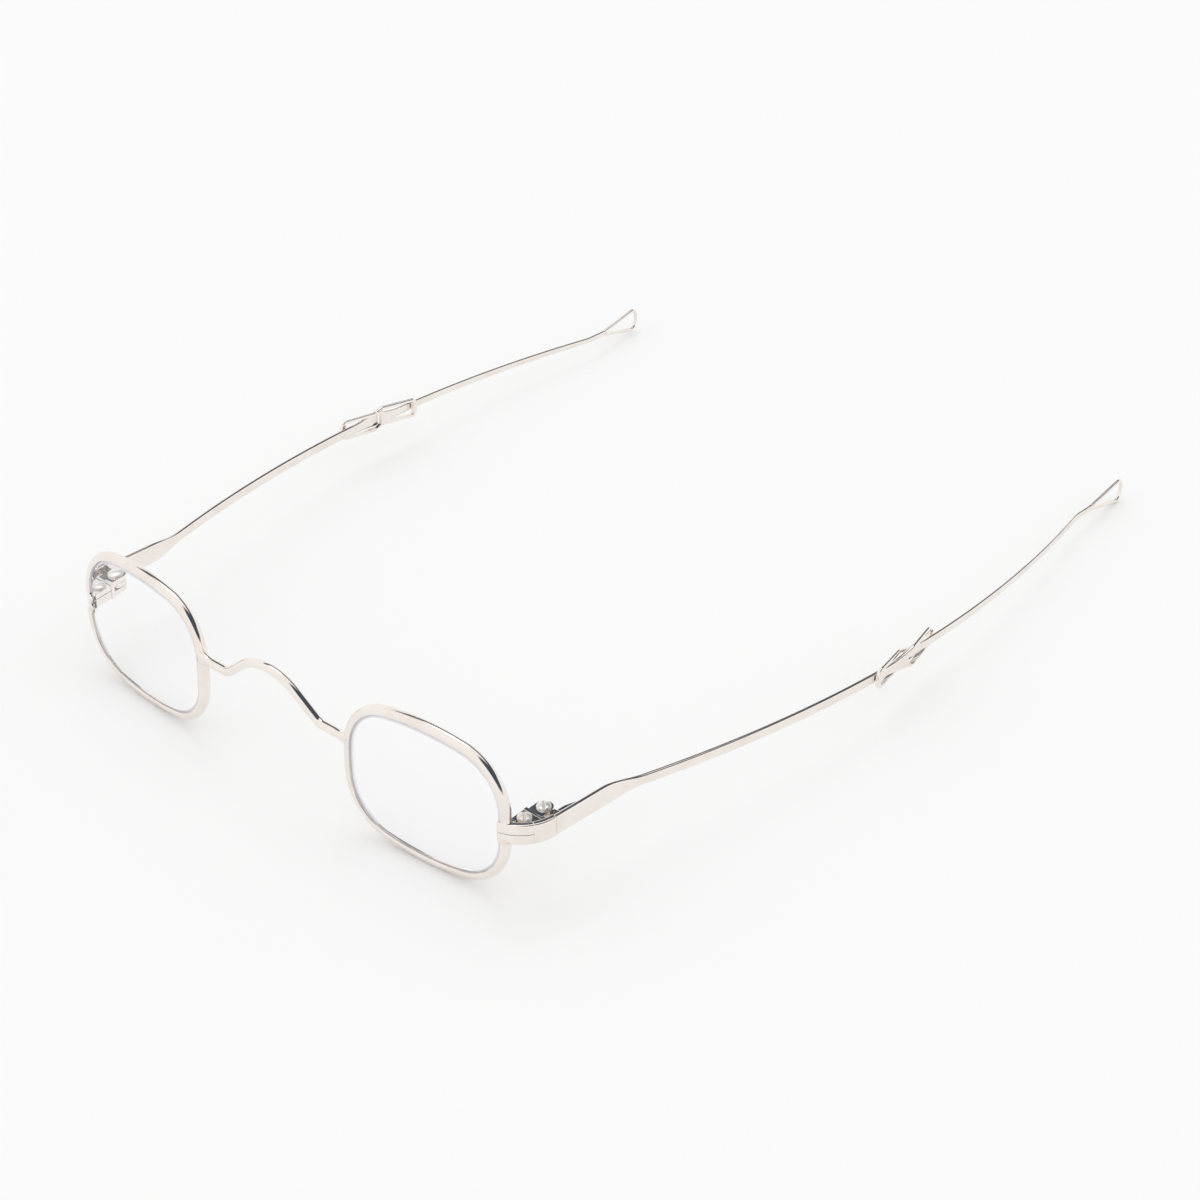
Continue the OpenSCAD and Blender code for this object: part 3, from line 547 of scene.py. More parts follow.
def lens_glass(s, p):
    """The lens: rings from the middle of the front, over the ridge, to the middle of the back.

    Inside the bevel each ring is the outline times a share, with its height on a ball's surface."""
    inset = s.rim.inner_face + s.lens.gap
    edge, inner, ridge = (rim_outline(s, p, distance, FINE)[0] for distance in (
        inset, inset + s.lens.bevel, inset - s.rim.groove_depth))
    shares = np.sin(np.linspace(0, np.pi / 2, 15))[1:]
    flat = shares[:, None, None] * inner
    a, top, half = s.rim.width / 2, s.lens.edge / 2, s.lens.ridge / 2
    ground = top - s.lens.bevel_depth

    def ball(radius, height, reach):
        """Height of a ball's surface that passes the lens's side at the given height."""
        return height - math.sqrt(radius ** 2 - a ** 2) + np.sqrt(radius ** 2 - reach)

    reach = (flat ** 2).sum(-1)
    walls = [(edge, ground), (edge, half), (ridge, half / 2),
             (ridge, -half / 2), (edge, -half), (edge, -ground)]
    rings = np.concatenate([
        raised(flat, ball(s.lens.front_radius, top, reach)),
        np.stack([raised(outline, height) for outline, height in walls]),
        raised(flat, ball(s.lens.back_radius, -top, reach))[::-1]])
    n, m = rings.shape[:2]
    around, after, last = np.arange(m), (np.arange(m) + 1) % m, (n - 1) * m
    points = np.concatenate([rings.reshape(-1, 3), [
        [0, 0, ball(s.lens.front_radius, top, 0)], [0, 0, ball(s.lens.back_radius, -top, 0)]]])
    front_fan = np.stack([np.full(m, n * m), after, around], -1)
    back_fan = np.stack([np.full(m, n * m + 1), around + last, after + last], -1)
    return [(in_rim(s, p, points), outward(points, [quads(n, m), front_fan, back_fan]))]


def bridge_wire(s, p):
    """The bridge: a round section carried over the arch, two bends and two side arms.

    Near each rim the section grows along the rim as a falling exponential, as solder does."""
    b = s.bridge
    solder_reach, into_rim, solder_ahead = 0.4 * MM, 0.12 * MM, 0.12
    arch_drop = b.arch_radius * (1 - math.cos(b.slope))
    bend_drop = b.bend_radius * (1 - math.cos(b.slope))
    straight = (b.rise - arch_drop - bend_drop) / math.sin(b.slope)
    down = np.array([math.cos(b.slope), -math.sin(b.slope)])
    up = np.array([math.sin(b.slope), math.cos(b.slope)])
    arch_end = np.array([b.arch_radius * math.sin(b.slope), b.rise - arch_drop])
    bend_c = arch_end + straight * down + b.bend_radius * up
    end_x = p.rim_x - s.rim.width / 2 * math.cos(s.rim.wrap) + into_rim
    arch = np.linspace(math.pi / 2, math.pi / 2 - b.slope, 40)
    bend = np.linspace(1.5 * math.pi - b.slope, 1.5 * math.pi, 22)[1:]
    arm = np.linspace(bend_c[0], end_x, 30)[1:]
    path = np.concatenate([
        [0, b.rise - b.arch_radius] + b.arch_radius * unit(arch),
        arch_end + np.linspace(0, straight, 8)[1:, None] * down,
        bend_c + b.bend_radius * unit(bend), np.column_stack([arm, np.zeros(len(arm))])])
    normal = np.concatenate([
        unit(arch), np.tile(up, (7, 1)), -unit(bend), np.tile([0, 1], (len(arm), 1))])
    path, normal = (np.concatenate([half[:0:-1] * [-1, 1], half]) for half in (path, normal))
    to_rim = end_x - s.rim.wire_radius * 0.9 - np.abs(path[:, 0])
    solder = b.solder * np.exp(-np.maximum(to_rim, 0) / solder_reach)
    points, faces = tube(round_wire(path, normal, b.wire_radius + solder,
                                    b.wire_radius + solder * solder_ahead, 36))
    place = [0, p.bridge_y, p.rim_z + b.height]
    return [(turned(points, math.pi / 2 + b.lean, 0) + place, faces)]


def rounded_section(low, high, low_edge, high_edge, thickness):
    """Outline of a bar's section about its middle: four corners as quarter circles.

    Each point is a corner's centre plus its radius at an angle; low and high edges differ."""
    points = []
    for start, x, z, edge in ((0, 1, high, high_edge), (1, -1, high, high_edge),
                              (2, -1, low, low_edge), (3, 1, low, low_edge)):
        inwards = -1 if z == high else 1
        centre = np.array([x * (thickness / 2 - edge), z + inwards * edge])
        points.append(centre + edge * unit((start + np.linspace(0, 1, 7)) * math.pi / 2))
    return np.concatenate(points)


def endpiece_strap(s, p):
    """The endpiece: bars with rounded edges carried round an upright axis.

    Two low bars lie above and below the saw cut, and one of full height follows behind it."""
    e = s.endpiece
    middle = e.radius - e.thickness / 2
    start, cut_end = e.start - math.pi / 2, -math.acos(e.saw_cut_reach / e.radius)
    end = -math.asin(e.short / middle)
    half, cut = e.height / 2, e.saw_cut_width / 2
    bars = []
    for first, last, low, high, low_edge, high_edge in (
            (start, cut_end, cut, half, HAIR, e.edge), (start, cut_end, -half, -cut, e.edge, HAIR),
            (cut_end, end, -half, half, e.edge, e.edge)):
        section = rounded_section(low, high, low_edge, high_edge, e.thickness)
        turn = np.linspace(first, last, 40)
        bars.append(tube(raised(
            p.band_c + (middle + section[:, 0])[:, None] * unit(turn)[:, None],
            p.band_z + section[:, 1])))
    return bars


def inside_band(s, p, low_y, high_y, far_x):
    """Outline of a block inside the endpiece's curve, between two Y values and up to an X value."""
    radius = s.endpiece.radius - s.endpiece.thickness - HAIR
    lowest = -math.acos((p.block_x - p.band_c[0]) / radius)
    if p.band_c[1] - low_y < radius:
        lowest = max(lowest, -math.asin((p.band_c[1] - low_y) / radius))
    highest = -math.asin((p.band_c[1] - high_y) / radius)
    if far_x - p.band_c[0] < radius:
        highest = min(highest, -math.acos((far_x - p.band_c[0]) / radius))
    arc = p.band_c + radius * unit(np.linspace(lowest, highest, 16))
    corners = [[p.block_x, high_y]]
    same = 1e-6
    if arc[-1, 1] < high_y - same:
        corners.insert(0, [arc[-1, 0], high_y])
    if arc[0, 0] > p.block_x + same:
        corners.append([p.block_x, low_y])
    return np.concatenate([arc, corners])


def closing_block(s, p, plate_span, post_span):
    """A closing block: a flat prism that carries the screw, and a taller post at the rim's end."""
    plate = inside_band(s, p, p.block_front, p.leaf_front - HAIR, p.seam_x)
    post = inside_band(s, p, p.block_front, p.post_back, p.post_x)
    return [prism(outline, p.band_z + low, p.band_z + high)
            for outline, (low, high) in ((plate, plate_span), (post, post_span))]


def upper_block(s, p):
    """The closing block above the saw cut."""
    cut = s.endpiece.saw_cut_width / 2
    return closing_block(s, p, (cut, s.hinge.block_top), (cut, s.endpiece.height / 2 - HAIR))


def lower_block(s, p):
    """The closing block below the saw cut."""
    cut = s.endpiece.saw_cut_width / 2
    return closing_block(s, p, (-s.hinge.block_bottom, -cut), (HAIR - s.endpiece.height / 2, -cut))


def screw(s, shank):
    """A slotted screw: a crowned disc cut by its slot, over a plain shank.

    The head is a grid across the slot and along it: the height falls with the square of the
    distance from the middle, and steeply across the slot's edges."""
    h = s.hinge
    radius, half = h.head_radius, h.slot_width / 2
    slot_wall, rim_round, chamfer = 0.03 * MM, 0.16 * MM, 0.15 * MM
    crown, slot_floor = 0.4 * h.head_height, 0.45 * h.head_height
    land = radius * np.cos(np.linspace(math.acos((half + slot_wall) / radius), 0, 16))
    across = np.concatenate([-land[::-1], np.linspace(-half, half, 7), land])
    along = np.sin(np.linspace(-math.pi / 2, math.pi / 2, 33))
    x, v = np.meshgrid(across, along, indexing="ij")
    y = v * np.sqrt(np.maximum(radius ** 2 - x ** 2, 0))
    reach = (x ** 2 + y ** 2) / radius ** 2
    into_round = np.maximum(rim_round - radius * (1 - np.sqrt(reach)), 0)
    dip = rim_round - np.sqrt(np.maximum(rim_round ** 2 - into_round ** 2, 0))
    top = h.head_height - crown * reach - dip
    top = np.where(np.abs(x) <= half + slot_wall / 2, np.minimum(top, slot_floor), top)
    disc = np.stack([x, y], -1)
    head_points, head_faces = shell(raised(disc, top), raised(disc, 0),
                                    np.ones((len(across) - 1, len(along) - 1), bool))
    turn = np.linspace(0, 2 * math.pi, 40, endpoint=False)
    radii = np.array([h.shank_radius, h.shank_radius, h.shank_radius - chamfer])
    heights = [[HAIR], [chamfer - shank], [-shank]]
    return [(turned(head_points, h.slot_angle, 2), head_faces),
            tube(raised(radii[:, None, None] * unit(turn), heights))]


def closing_screw(s, p):
    """The closing screw, upright through both closing blocks."""
    h = s.hinge
    place = [p.hinge_x - h.screw_inside, p.hinge_y - h.screw_pitch, p.band_z + h.block_top + HAIR]
    return [(points + place, faces) for points, faces in screw(s, h.block_top + h.block_bottom)]


def knuckle_ends(s):
    """Lower and upper end of the stack of knuckles, from the endpiece's middle."""
    return -s.endpiece.height / 2, s.hinge.block_top + 0.1 * MM


def hinge_screw(s, p):
    """The hinge screw, on the leaning axis through all the knuckles."""
    low, high = knuckle_ends(s)
    return [(on_hinge(s, p, points + [0, 0, high + HAIR]), faces)
            for points, faces in screw(s, high - low)]


def knuckle(s, p, low, high, arm_x, arm_y):
    """A knuckle on the hinge axis: part of a circle that runs into a straight arm."""
    radius = s.hinge.knuckle_radius
    if arm_x:
        turn, arm = np.linspace(math.pi / 2, 2 * math.pi, 40), [[arm_x, 0], [arm_x, radius]]
    else:
        turn, arm = np.linspace(0, math.pi, 30), [[-radius, arm_y], [radius, arm_y]]
    points, faces = prism(np.concatenate([radius * unit(turn), arm]), low, high)
    return on_hinge(s, p, points), faces


def fixed_leaf(s, p):
    """The front leaf: an upright plate across the endpiece, with a knuckle above and one below."""
    h = s.hinge
    low, high = knuckle_ends(s)
    plate = inside_band(s, p, p.leaf_front, p.leaf_back, p.seam_x)
    arm = p.leaf_front - p.hinge_y + h.leaf_thickness / 2
    return [prism(plate, p.band_z + low, p.band_z + high),
            knuckle(s, p, low, h.knuckle_low - h.gap, 0, arm),
            knuckle(s, p, h.knuckle_low + h.knuckle_middle + h.gap, high, 0, arm)]


def moving_leaf(s, p):
    """The temple's leaf: the middle knuckle with its arm, and a plate that thins to the rear."""
    h, temple = s.hinge, s.temple
    arm = h.inset - temple.front_thickness - h.leaf_thickness / 2
    near = -temple.front_thickness / 2
    far, start = near - h.leaf_thickness, h.behind + 0.4 * MM
    end, end_thickness = start + h.leaf_length, 0.15 * MM
    outline = np.array([[near, start], [near, end], [near - end_thickness, end],
                        [far, start + h.leaf_length * 0.4], [far, start]])
    points, faces = prism(outline, -h.block_bottom, h.block_bottom)
    return [knuckle(s, p, h.knuckle_low, h.knuckle_low + h.knuckle_middle, arm, 0),
            (in_temple(s, p, turned(points, -temple.plate_out, 2)), faces)]


def eye_heights(s, p, strip_half, d):
    """Half heights of an eye's outline and of its window at lengths towards the eye's end.

    The outline widens with the square of the length over the shoulder and ends in a quarter
    circle. The window opens by a cosine ease; the line ahead of it keeps a share of the outline."""
    temple = s.temple
    full, opening, ahead = temple.eye_height / 2, temple.window_height / 2, -temple.window_start
    first = 0.75
    outer = strip_half + (full - strip_half) * np.clip(d / temple.eye_shoulder + 1, 0, 1) ** 2
    over = np.clip(d - (p.eye_reach - temple.eye_corner), 0, temple.eye_corner)
    outer = outer - temple.eye_corner + np.sqrt(temple.eye_corner ** 2 - over ** 2)
    opened = ease((d - ahead) / (temple.window_start - temple.window_full))
    at_start = np.interp(ahead, np.sort(d), outer[np.argsort(d)])
    return outer, np.where(d < ahead, outer * first * opening / at_start,
                           opening * (first + (1 - first) * opened))


def eye_ramp(s, d):
    """Share of the sideways step at lengths towards the eye's end.

    A straight ramp, softened at its foot and its top by the difference of two root curves."""
    t, soft = d / s.temple.eye_ramp, 0.05
    return (1 + np.sqrt(t ** 2 + soft ** 2) - np.sqrt((t - 1) ** 2 + soft ** 2)) / 2


def eye_stops(s, p):
    """Places along an eye, close together, with one at each change of its outline."""
    temple = s.temple
    return spread(-temple.eye_shoulder, -temple.window_start, -temple.window_full, 0,
                  temple.eye_ramp, p.eye_reach - temple.eye_bar, p.eye_reach, step=0.2 * MM)


def strip(s, p, plan, normal, strip_half, d, thickness, plate=0, early=None):
    """A strip round its middle line: rows of points at heights over the line, on two faces.

    Rows lie close together round both long edges, where the thickness follows a quarter circle.
    All cells are filled but the middle row between the window's two ends. Early moves the points
    back along the line by a share of their height."""
    temple = s.temple
    soft, least = temple.edge_share * thickness, 0.03 * MM
    turn = np.linspace(math.pi / 2, 0, 6)
    below = np.append(soft * (1 - np.sin(turn)), soft + least)
    lost = np.append(soft * (1 - np.cos(turn)), 0)
    outer, window = eye_heights(s, p, strip_half, d)
    outer = (outer + plate)[:, None]
    window = np.minimum(window[:, None], outer - soft - 2 * least)
    rows = np.concatenate([below - outer, -window, window, (outer - below)[:, ::-1]], 1)
    half = thickness / 2 - np.concatenate([lost, [0, 0], lost[::-1]])
    middle = plan[:, None]
    if early is not None:
        middle = middle - quarter(normal)[:, None] * (rows * early[:, None])[..., None]
    faces = [raised(middle + normal[:, None] * face[:, None], rows) for face in (half, -half)]
    columns = rows.shape[1] - 1
    filled = np.ones((len(d) - 1, columns), bool)
    centre = (d[:-1] + d[1:]) / 2
    inside = (centre > -temple.window_start) & (centre < p.eye_reach - temple.eye_bar)
    filled[inside, columns // 2] = False
    points, polygons = shell(*faces, filled)
    return [(in_temple(s, p, points), polygons)]


def front_strip(s, p):
    """The front strip: a plate whose middle line runs straight, bends out and follows the bow.

    Its half height is a function of the length: the hinge plate, a cosine taper, the strip and
    the eye. At the eye the line steps in over the other strip; the window's cells stay open."""
    temple = s.temple
    taper = temple.plate_length + 0.5 * MM
    along = np.unique(np.concatenate([
        spread(0.05 * MM, MM, temple.plate_length, p.arc_s, step=FINE),
        spread(p.arc_s, taper + temple.taper_length, p.front_eye - temple.eye_shoulder,
               step=COARSE),
        p.front_eye + eye_stops(s, p)]).round(9))
    d = along - p.front_eye
    half = temple.front_height / 2
    plate = (s.endpiece.height / 2 - half) * (1 - ease((along - taper) / temple.taper_length))
    on_plate, on_kink = (along < temple.plate_length)[:, None], (along < p.arc_s)[:, None]
    heading = temple.plate_out + np.maximum(along - temple.plate_length, 0) / temple.kink_radius
    straight = along[:, None] * np.array([math.sin(temple.plate_out), math.cos(temple.plate_out)])
    kink = p.kink_c - temple.kink_radius * unit(-heading)
    turn = bow_turn(p, temple, np.minimum(along, p.front_eye))
    bow = p.bow_c + temple.bow_radius * unit(turn)
    normal = np.where(on_kink, unit(-heading), unit(turn))
    plan = np.where(on_plate, straight, np.where(on_kink, kink, bow))
    step = 2 * p.step + p.eye_reach ** 2 / (2 * temple.bow_radius)
    plan = (plan + quarter(normal) * np.maximum(d, 0)[:, None]
            - normal * (step * eye_ramp(s, d))[:, None])
    early = math.tan(p.pitch) * np.maximum(1 - along / MM, 0)
    return strip(s, p, plan, normal, half, d, temple.front_thickness, plate, early)


def rear_strip(s, p):
    """The rear strip: from its eye along the inner bow, then out through the flare to the fork.

    Half heights fall evenly from the shoulder to the tip. At the eye, which faces forward, the
    line steps out over the other strip; the window's cells stay open."""
    temple, tip = s.temple, s.tip
    bend_length = tip.flare_radius * tip.flare
    straight = p.bend + bend_length
    shoulder = p.rear_eye + temple.eye_shoulder
    along = np.unique(np.concatenate([
        p.rear_eye - eye_stops(s, p), spread(shoulder, p.bend, step=COARSE),
        spread(p.bend, straight, straight + tip.straight, step=0.3 * MM)]).round(9))
    d = p.rear_eye - along
    half = np.interp(along, [shoulder, p.bend], [temple.rear_height / 2, temple.end_height / 2])
    turn = bow_turn(p, temple, np.clip(along, p.rear_eye, p.bend))
    past = np.maximum(along - p.bend, 0)
    bent = np.minimum(past / tip.flare_radius, tip.flare)
    out, back = unit(turn), unit(turn + math.pi / 2)
    step = 2 * p.step - p.eye_reach ** 2 / (2 * p.rear_radius)
    outwards = p.rear_radius + tip.flare_radius * (1 - np.cos(bent)) + step * eye_ramp(s, d)
    backwards = tip.flare_radius * np.sin(bent) - np.maximum(d, 0)
    beyond = np.maximum(past - bend_length, 0)
    plan = (p.bow_c + out * outwards[:, None] + back * backwards[:, None]
            + unit(turn - bent + math.pi / 2) * beyond[:, None])
    return strip(s, p, plan, unit(turn - bent), half, d, temple.rear_thickness)


def tip_wire(s, p):
    """The tip loop: a round section carried from the fork round a drop shape and back.

    Each prong leaves the strip by a soft bend, the root of a square, and is tangent to a corner
    arc; the end arc joins the corners. Near the fork the section slims into the strip."""
    tip = s.tip
    split, soft, fork = 0.27 * MM, 0.5 * MM, 1.4 * MM
    slim_high, slim_wide, slim_start, slim_length = 0.24 * MM, 0.27 * MM, -MM, 1.6 * MM
    far = math.hypot(tip.reach, p.loop_c - split)
    rise = math.atan2(p.loop_c - split, tip.reach) + math.asin(tip.corner_radius / far)
    run = math.sqrt(far ** 2 - tip.corner_radius ** 2) * math.cos(rise)
    u = np.concatenate([np.linspace(-fork, fork, 24), np.linspace(fork, run, 24)[1:-1]])
    prong = np.column_stack([u, split + math.tan(rise) * (u + np.sqrt(u ** 2 + soft ** 2)) / 2])
    loop_turn = math.atan2(p.loop_c, tip.reach - p.loop_end)
    corner = [tip.reach, p.loop_c] + tip.corner_radius * unit(
        np.linspace(math.pi / 2 + rise, loop_turn, 20))
    end = [p.loop_end, 0] + tip.end_radius * unit(np.linspace(loop_turn, 0, 12))[1:]
    upper = np.concatenate([prong, corner, end])
    path = np.concatenate([upper, upper[-2::-1] * [1, -1]])
    tangent = np.gradient(path, axis=0)
    tangent /= np.linalg.norm(tangent, axis=1)[:, None]
    slim = ease((path[:, 0] - slim_start) / slim_length)
    high = slim_high + (tip.wire_radius - slim_high) * slim
    wide = slim_wide + (tip.wire_radius - slim_wide) * slim
    points, faces = tube(np.roll(round_wire(path, quarter(tangent), high, wide, 24), 1, -1))
    points = turned(points + [0, tip.straight, 0], -tip.flare, 2)
    points = points + [p.rear_radius + tip.flare_radius * (1 - math.cos(tip.flare)),
                       tip.flare_radius * math.sin(tip.flare), 0]
    points = turned(points, bow_turn(p, s.temple, p.bend), 2) + [*p.bow_c, 0]
    return [(in_temple(s, p, points), faces)]


def put(tree, socket, value):
    """Gives an input a value, or a link where the value is another node's socket."""
    if isinstance(value, NodeSocket):
        tree.links.new(value, socket)
    else:
        socket.default_value = value


def node(tree, kind, **values):
    """A node to the right of the others, with its settings and inputs given by name."""
    n = tree.nodes.new(kind if kind.startswith("NodeGroup") else "ShaderNode" + kind)
    n.location.x = NODE_STEP * len(tree.nodes)
    for key, value in values.items():
        label = key.replace("_", " ")
        if label in n.inputs:
            put(tree, n.inputs[label], value)
        else:
            setattr(n, key, value)
    return n


def maths(tree, operation, *values):
    """The result of a calculation with numbers and sockets."""
    n = node(tree, "Math", operation=operation)
    for socket, value in zip(n.inputs, values):
        put(tree, socket, value)
    return n.outputs[0]


def ranged(tree, value, first, last, low=0.0, high=1.0, curve="LINEAR"):
    """A value between first and last, moved to the same place between low and high."""
    return node(tree, "MapRange", interpolation_type=curve, Value=value, From_Min=first,
                From_Max=last, To_Min=low, To_Max=high).outputs["Result"]


def mixed(tree, factor, first, second, blend="MIX"):
    """Two colours, each three numbers or a socket, mixed by a factor."""
    first, second = (c if isinstance(c, NodeSocket) else (*c, 1) for c in (first, second))
    return node(tree, "Mix", data_type="RGBA", blend_type=blend, Factor=factor,
                A=first, B=second).outputs["Result"]


def shade(base, factor):
    """A colour made darker by a factor."""
    return tuple(c * factor for c in base)


def noise(tree, place, **values):
    """Soft random waves from 0 to 1 over a place."""
    return node(tree, "TexNoise", Vector=place, **values).outputs["Fac"]


def on_object(tree):
    """Place on the object, in metres."""
    return node(tree, "TexCoord").outputs["Object"]


def relief(tree, height, strength, distance):
    """Normals of a fine relief."""
    return node(tree, "Bump", Strength=strength, Distance=distance, Height=height).outputs["Normal"]


def principled(tree, **values):
    """A surface shader, with its inputs given by name."""
    return node(tree, "BsdfPrincipled", **values).outputs["BSDF"]


def group(name, inputs, outputs, build):
    """The node group of a name; at its first use its nodes are built between its sockets."""
    tree = bpy.data.node_groups.get(name)
    if tree is None:
        tree = bpy.data.node_groups.new(name, "ShaderNodeTree")
        for label, default in inputs.items():
            socket = tree.interface.new_socket(label, in_out="INPUT", socket_type="NodeSocketFloat")
            socket.default_value = default
        for label in outputs:
            tree.interface.new_socket(label, in_out="OUTPUT", socket_type="NodeSocketFloat")
        results = build(tree, node(tree, "NodeGroupInput").outputs)
        node(tree, "NodeGroupOutput", **results)
    return tree


def material(name, build):
    """The material of a name; at its first use its nodes are built up to its output."""
    kept = bpy.data.materials.get(name)
    if kept is None:
        kept = bpy.data.materials.new(name)
        kept.use_nodes = True
        kept.node_tree.nodes.clear()
        node(kept.node_tree, "OutputMaterial", Surface=build(kept.node_tree))
    return kept


def polish_group():
    """Hand polish: soft waves, smudges and fine scratches, as masks and one height."""
    def build(tree, given):
        place = on_object(tree)
        waves = noise(tree, place, Scale=given["Waves per metre"], Detail=1.0)
        smudges = noise(tree, place, Scale=180.0, Detail=6.0, Roughness=0.65)
        stretched = node(tree, "Mapping", Scale=(1.0, 0.06, 1.0), Rotation=(0.35, 0.2, 0.3),
                         Vector=place).outputs["Vector"]
        fine = noise(tree, stretched, Scale=given["Scratches per metre"], Detail=3.0, Roughness=0.7)
        lines = ranged(tree, fine, 0.6, 0.72)
        scratches = maths(tree, "MULTIPLY", lines, given["Scratch Strength"])
        height = maths(tree, "MULTIPLY_ADD", scratches, -0.05, waves)
        return {"Smudges": smudges, "Scratches": scratches, "Height": height}

    inputs = {"Waves per metre": 420.0, "Scratches per metre": 2600.0, "Scratch Strength": 0.3}
    return group("hand polish", inputs, ("Smudges", "Scratches", "Height"), build)


def edge_group():
    """Edges and corners: a mask of rubbed outer edges and one of painted shade in concave corners.
    """
    def build(tree, given):
        bend = node(tree, "NewGeometry").outputs["Pointiness"]
        patches = noise(tree, on_object(tree), Scale=given["Breakup per metre"], Detail=4.0)
        # The second mask is painted shade: concave places found by pointiness, broken up by
        # patches.
        return {label: maths(tree, "MULTIPLY", ranged(tree, bend, *span), patches)
                for label, span in (("Rubbed", (0.53, 0.62)), ("Dull", (0.47, 0.38)))}

    return group("edges and corners", {"Breakup per metre": 700.0}, ("Rubbed", "Dull"), build)


def metal(name):
    """A polished metal: painted shade darkens its colour in concave corners, and smudges and
    scratches roughen it.

    Each kind has a colour, a roughness and its spread, waves per metre and their height, and the
    strength and number of its scratches."""
    look = settings().finish
    base, roughness, uneven, waves, bump, scratches, scratch_scale = {
        WIRE: (look.metal, look.polish, 0.05, 260.0, 0.06 * MM, 0.25, 2600.0),
        STRIP: (look.metal, look.strip_polish, 0.07, 320.0, 0.03 * MM, 0.4, 3400.0),
        SCREW: (look.screw, look.strip_polish + 0.24, 0.1, 900.0, 0.02 * MM, 0.5, 5000.0)}[name]
    tarnish, scratch_dulls, wear_dulls = (0.93, 0.9, 0.87), 0.22, 0.18

    def build(tree):
        polish = node(tree, "Group", node_tree=polish_group(), Waves_per_metre=waves,
                      Scratches_per_metre=scratch_scale,
                      Scratch_Strength=scratches * look.wear * 2).outputs
        edges = node(tree, "Group", node_tree=edge_group(), Breakup_per_metre=700.0).outputs
        # Painted shade: the base colour turns towards the shade colour in concave corners.
        shaded_base = mixed(tree, edges["Dull"], base, look.dull)
        cloudy = ranged(tree, polish["Smudges"], 0.45, 0.75)
        rough = ranged(tree, polish["Smudges"], 0.3, 0.75, roughness - uneven * 0.4,
                       roughness + uneven)
        rough = maths(tree, "MULTIPLY_ADD", polish["Scratches"], scratch_dulls, rough)
        rough = maths(tree, "MULTIPLY_ADD", edges["Rubbed"], wear_dulls * look.wear, rough)
        return principled(tree, Metallic=1.0, Roughness=rough,
                          Base_Color=mixed(tree, cloudy, shaded_base, tarnish, "MULTIPLY"),
                          Normal=relief(tree, polish["Height"], 1.0, bump))

    return material(name, build)


def glass_material():
    """Clear glass with faint smudges; soft light passes it, so it throws hardly any shade."""
    look = settings().finish

    def build(tree):
        smears = noise(tree, on_object(tree), Scale=140.0, Detail=5.0, Roughness=0.6,
                       Distortion=0.6)
        glass = principled(
            tree, Metallic=0.0, IOR=1.5, Transmission_Weight=1.0, Base_Color=(*look.glass, 1),
            Roughness=ranged(tree, smears, 0.5, 0.85, 0.0, 0.08 * look.smudges))
        rays = node(tree, "LightPath").outputs
        soft = maths(tree, "MAXIMUM", rays["Is Shadow Ray"], rays["Is Diffuse Ray"])
        mix = node(tree, "MixShader", Fac=soft)
        put(tree, mix.inputs[1], glass)
        put(tree, mix.inputs[2], node(tree, "BsdfTransparent").outputs["BSDF"])
        return mix.outputs["Shader"]

    return material("lens glass", build)


def glass_edge_material():
    """The lenses' ground edge: frosted, pale and a little uneven from the grinding wheel."""
    base = settings().finish.glass_edge

    def build(tree):
        grain = noise(tree, on_object(tree), Scale=2400.0, Detail=4.0, Roughness=0.7)
        return principled(tree, Metallic=0.0, IOR=1.5, Transmission_Weight=0.0,
                          Base_Color=mixed(tree, grain, base, shade(base, 0.97)),
                          Roughness=ranged(tree, grain, 0.0, 1.0, 0.4, 0.65),
                          Normal=relief(tree, grain, 0.6, 0.03 * MM))

    return material("ground glass edge", build)


def table_material():
    """Matt white table top with a faint, even mottling."""
    base = settings().stage.table

    def build(tree):
        mottle = noise(tree, on_object(tree), Scale=9.0, Detail=3.0)
        return principled(tree, Roughness=0.9, Specular_IOR_Level=0.0,
                          Base_Color=mixed(tree, mottle, base, shade(base, 0.993)))

    return material("table top", build)


def room():
    """White room for the camera and for soft light; polished metal also sees two dark places.

    The wall behind is dark in a band of height from a smooth edge at its left, and a round
    patch is dark to the right of the camera."""
    world = bpy.data.worlds.new("white room")
    bpy.context.scene.world = world
    world.use_nodes = True
    tree = world.node_tree
    tree.nodes.clear()
    ray = node(tree, "TexCoord").outputs["Generated"]
    parts = node(tree, "SeparateXYZ", Vector=ray).outputs
    sky = [settings().stage.sky] * 3
    bright, dusk, backdrop = (1.0, 0.99, 0.98), (0.06, 0.075, 0.1), (0.96, 0.96, 0.96)
    wall_left, camera_right = (1.6, 0, 1), (0.74, -0.08, 0.67)
    band_low, band_high, patch_edge = (0.4, 0.48), (0.82, 0.75), (0.78, 0.89)
    wall_side, wall_front = (-0.52, -0.44), (-0.05, 0.12)

    def toward(direction):
        """How nearly a ray goes in a direction: the two directions' dot product."""
        n = node(tree, "VectorMath", operation="DOT_PRODUCT")
        put(tree, n.inputs[0], ray)
        put(tree, n.inputs[1], direction)
        return n.outputs["Value"]

    def fade(value, edge):
        """A smooth rise from 0 at the edge's first value to 1 at its last."""
        return ranged(tree, value, *edge, curve="SMOOTHSTEP")

    band = maths(tree, "MULTIPLY", fade(parts["Z"], band_low), fade(parts["Z"], band_high))
    behind = maths(tree, "MULTIPLY", fade(toward(wall_left), wall_side),
                   fade(parts["Y"], wall_front))
    dark = maths(tree, "MAXIMUM", maths(tree, "MULTIPLY", band, behind),
                 fade(toward(camera_right), patch_edge))
    rays = node(tree, "LightPath").outputs
    white = mixed(tree, rays["Is Glossy Ray"], sky, mixed(tree, dark, bright, dusk))
    seen = mixed(tree, rays["Is Camera Ray"], white, backdrop)
    light = node(tree, "Background", Color=seen)
    node(tree, "OutputWorld", Surface=light.outputs["Background"])


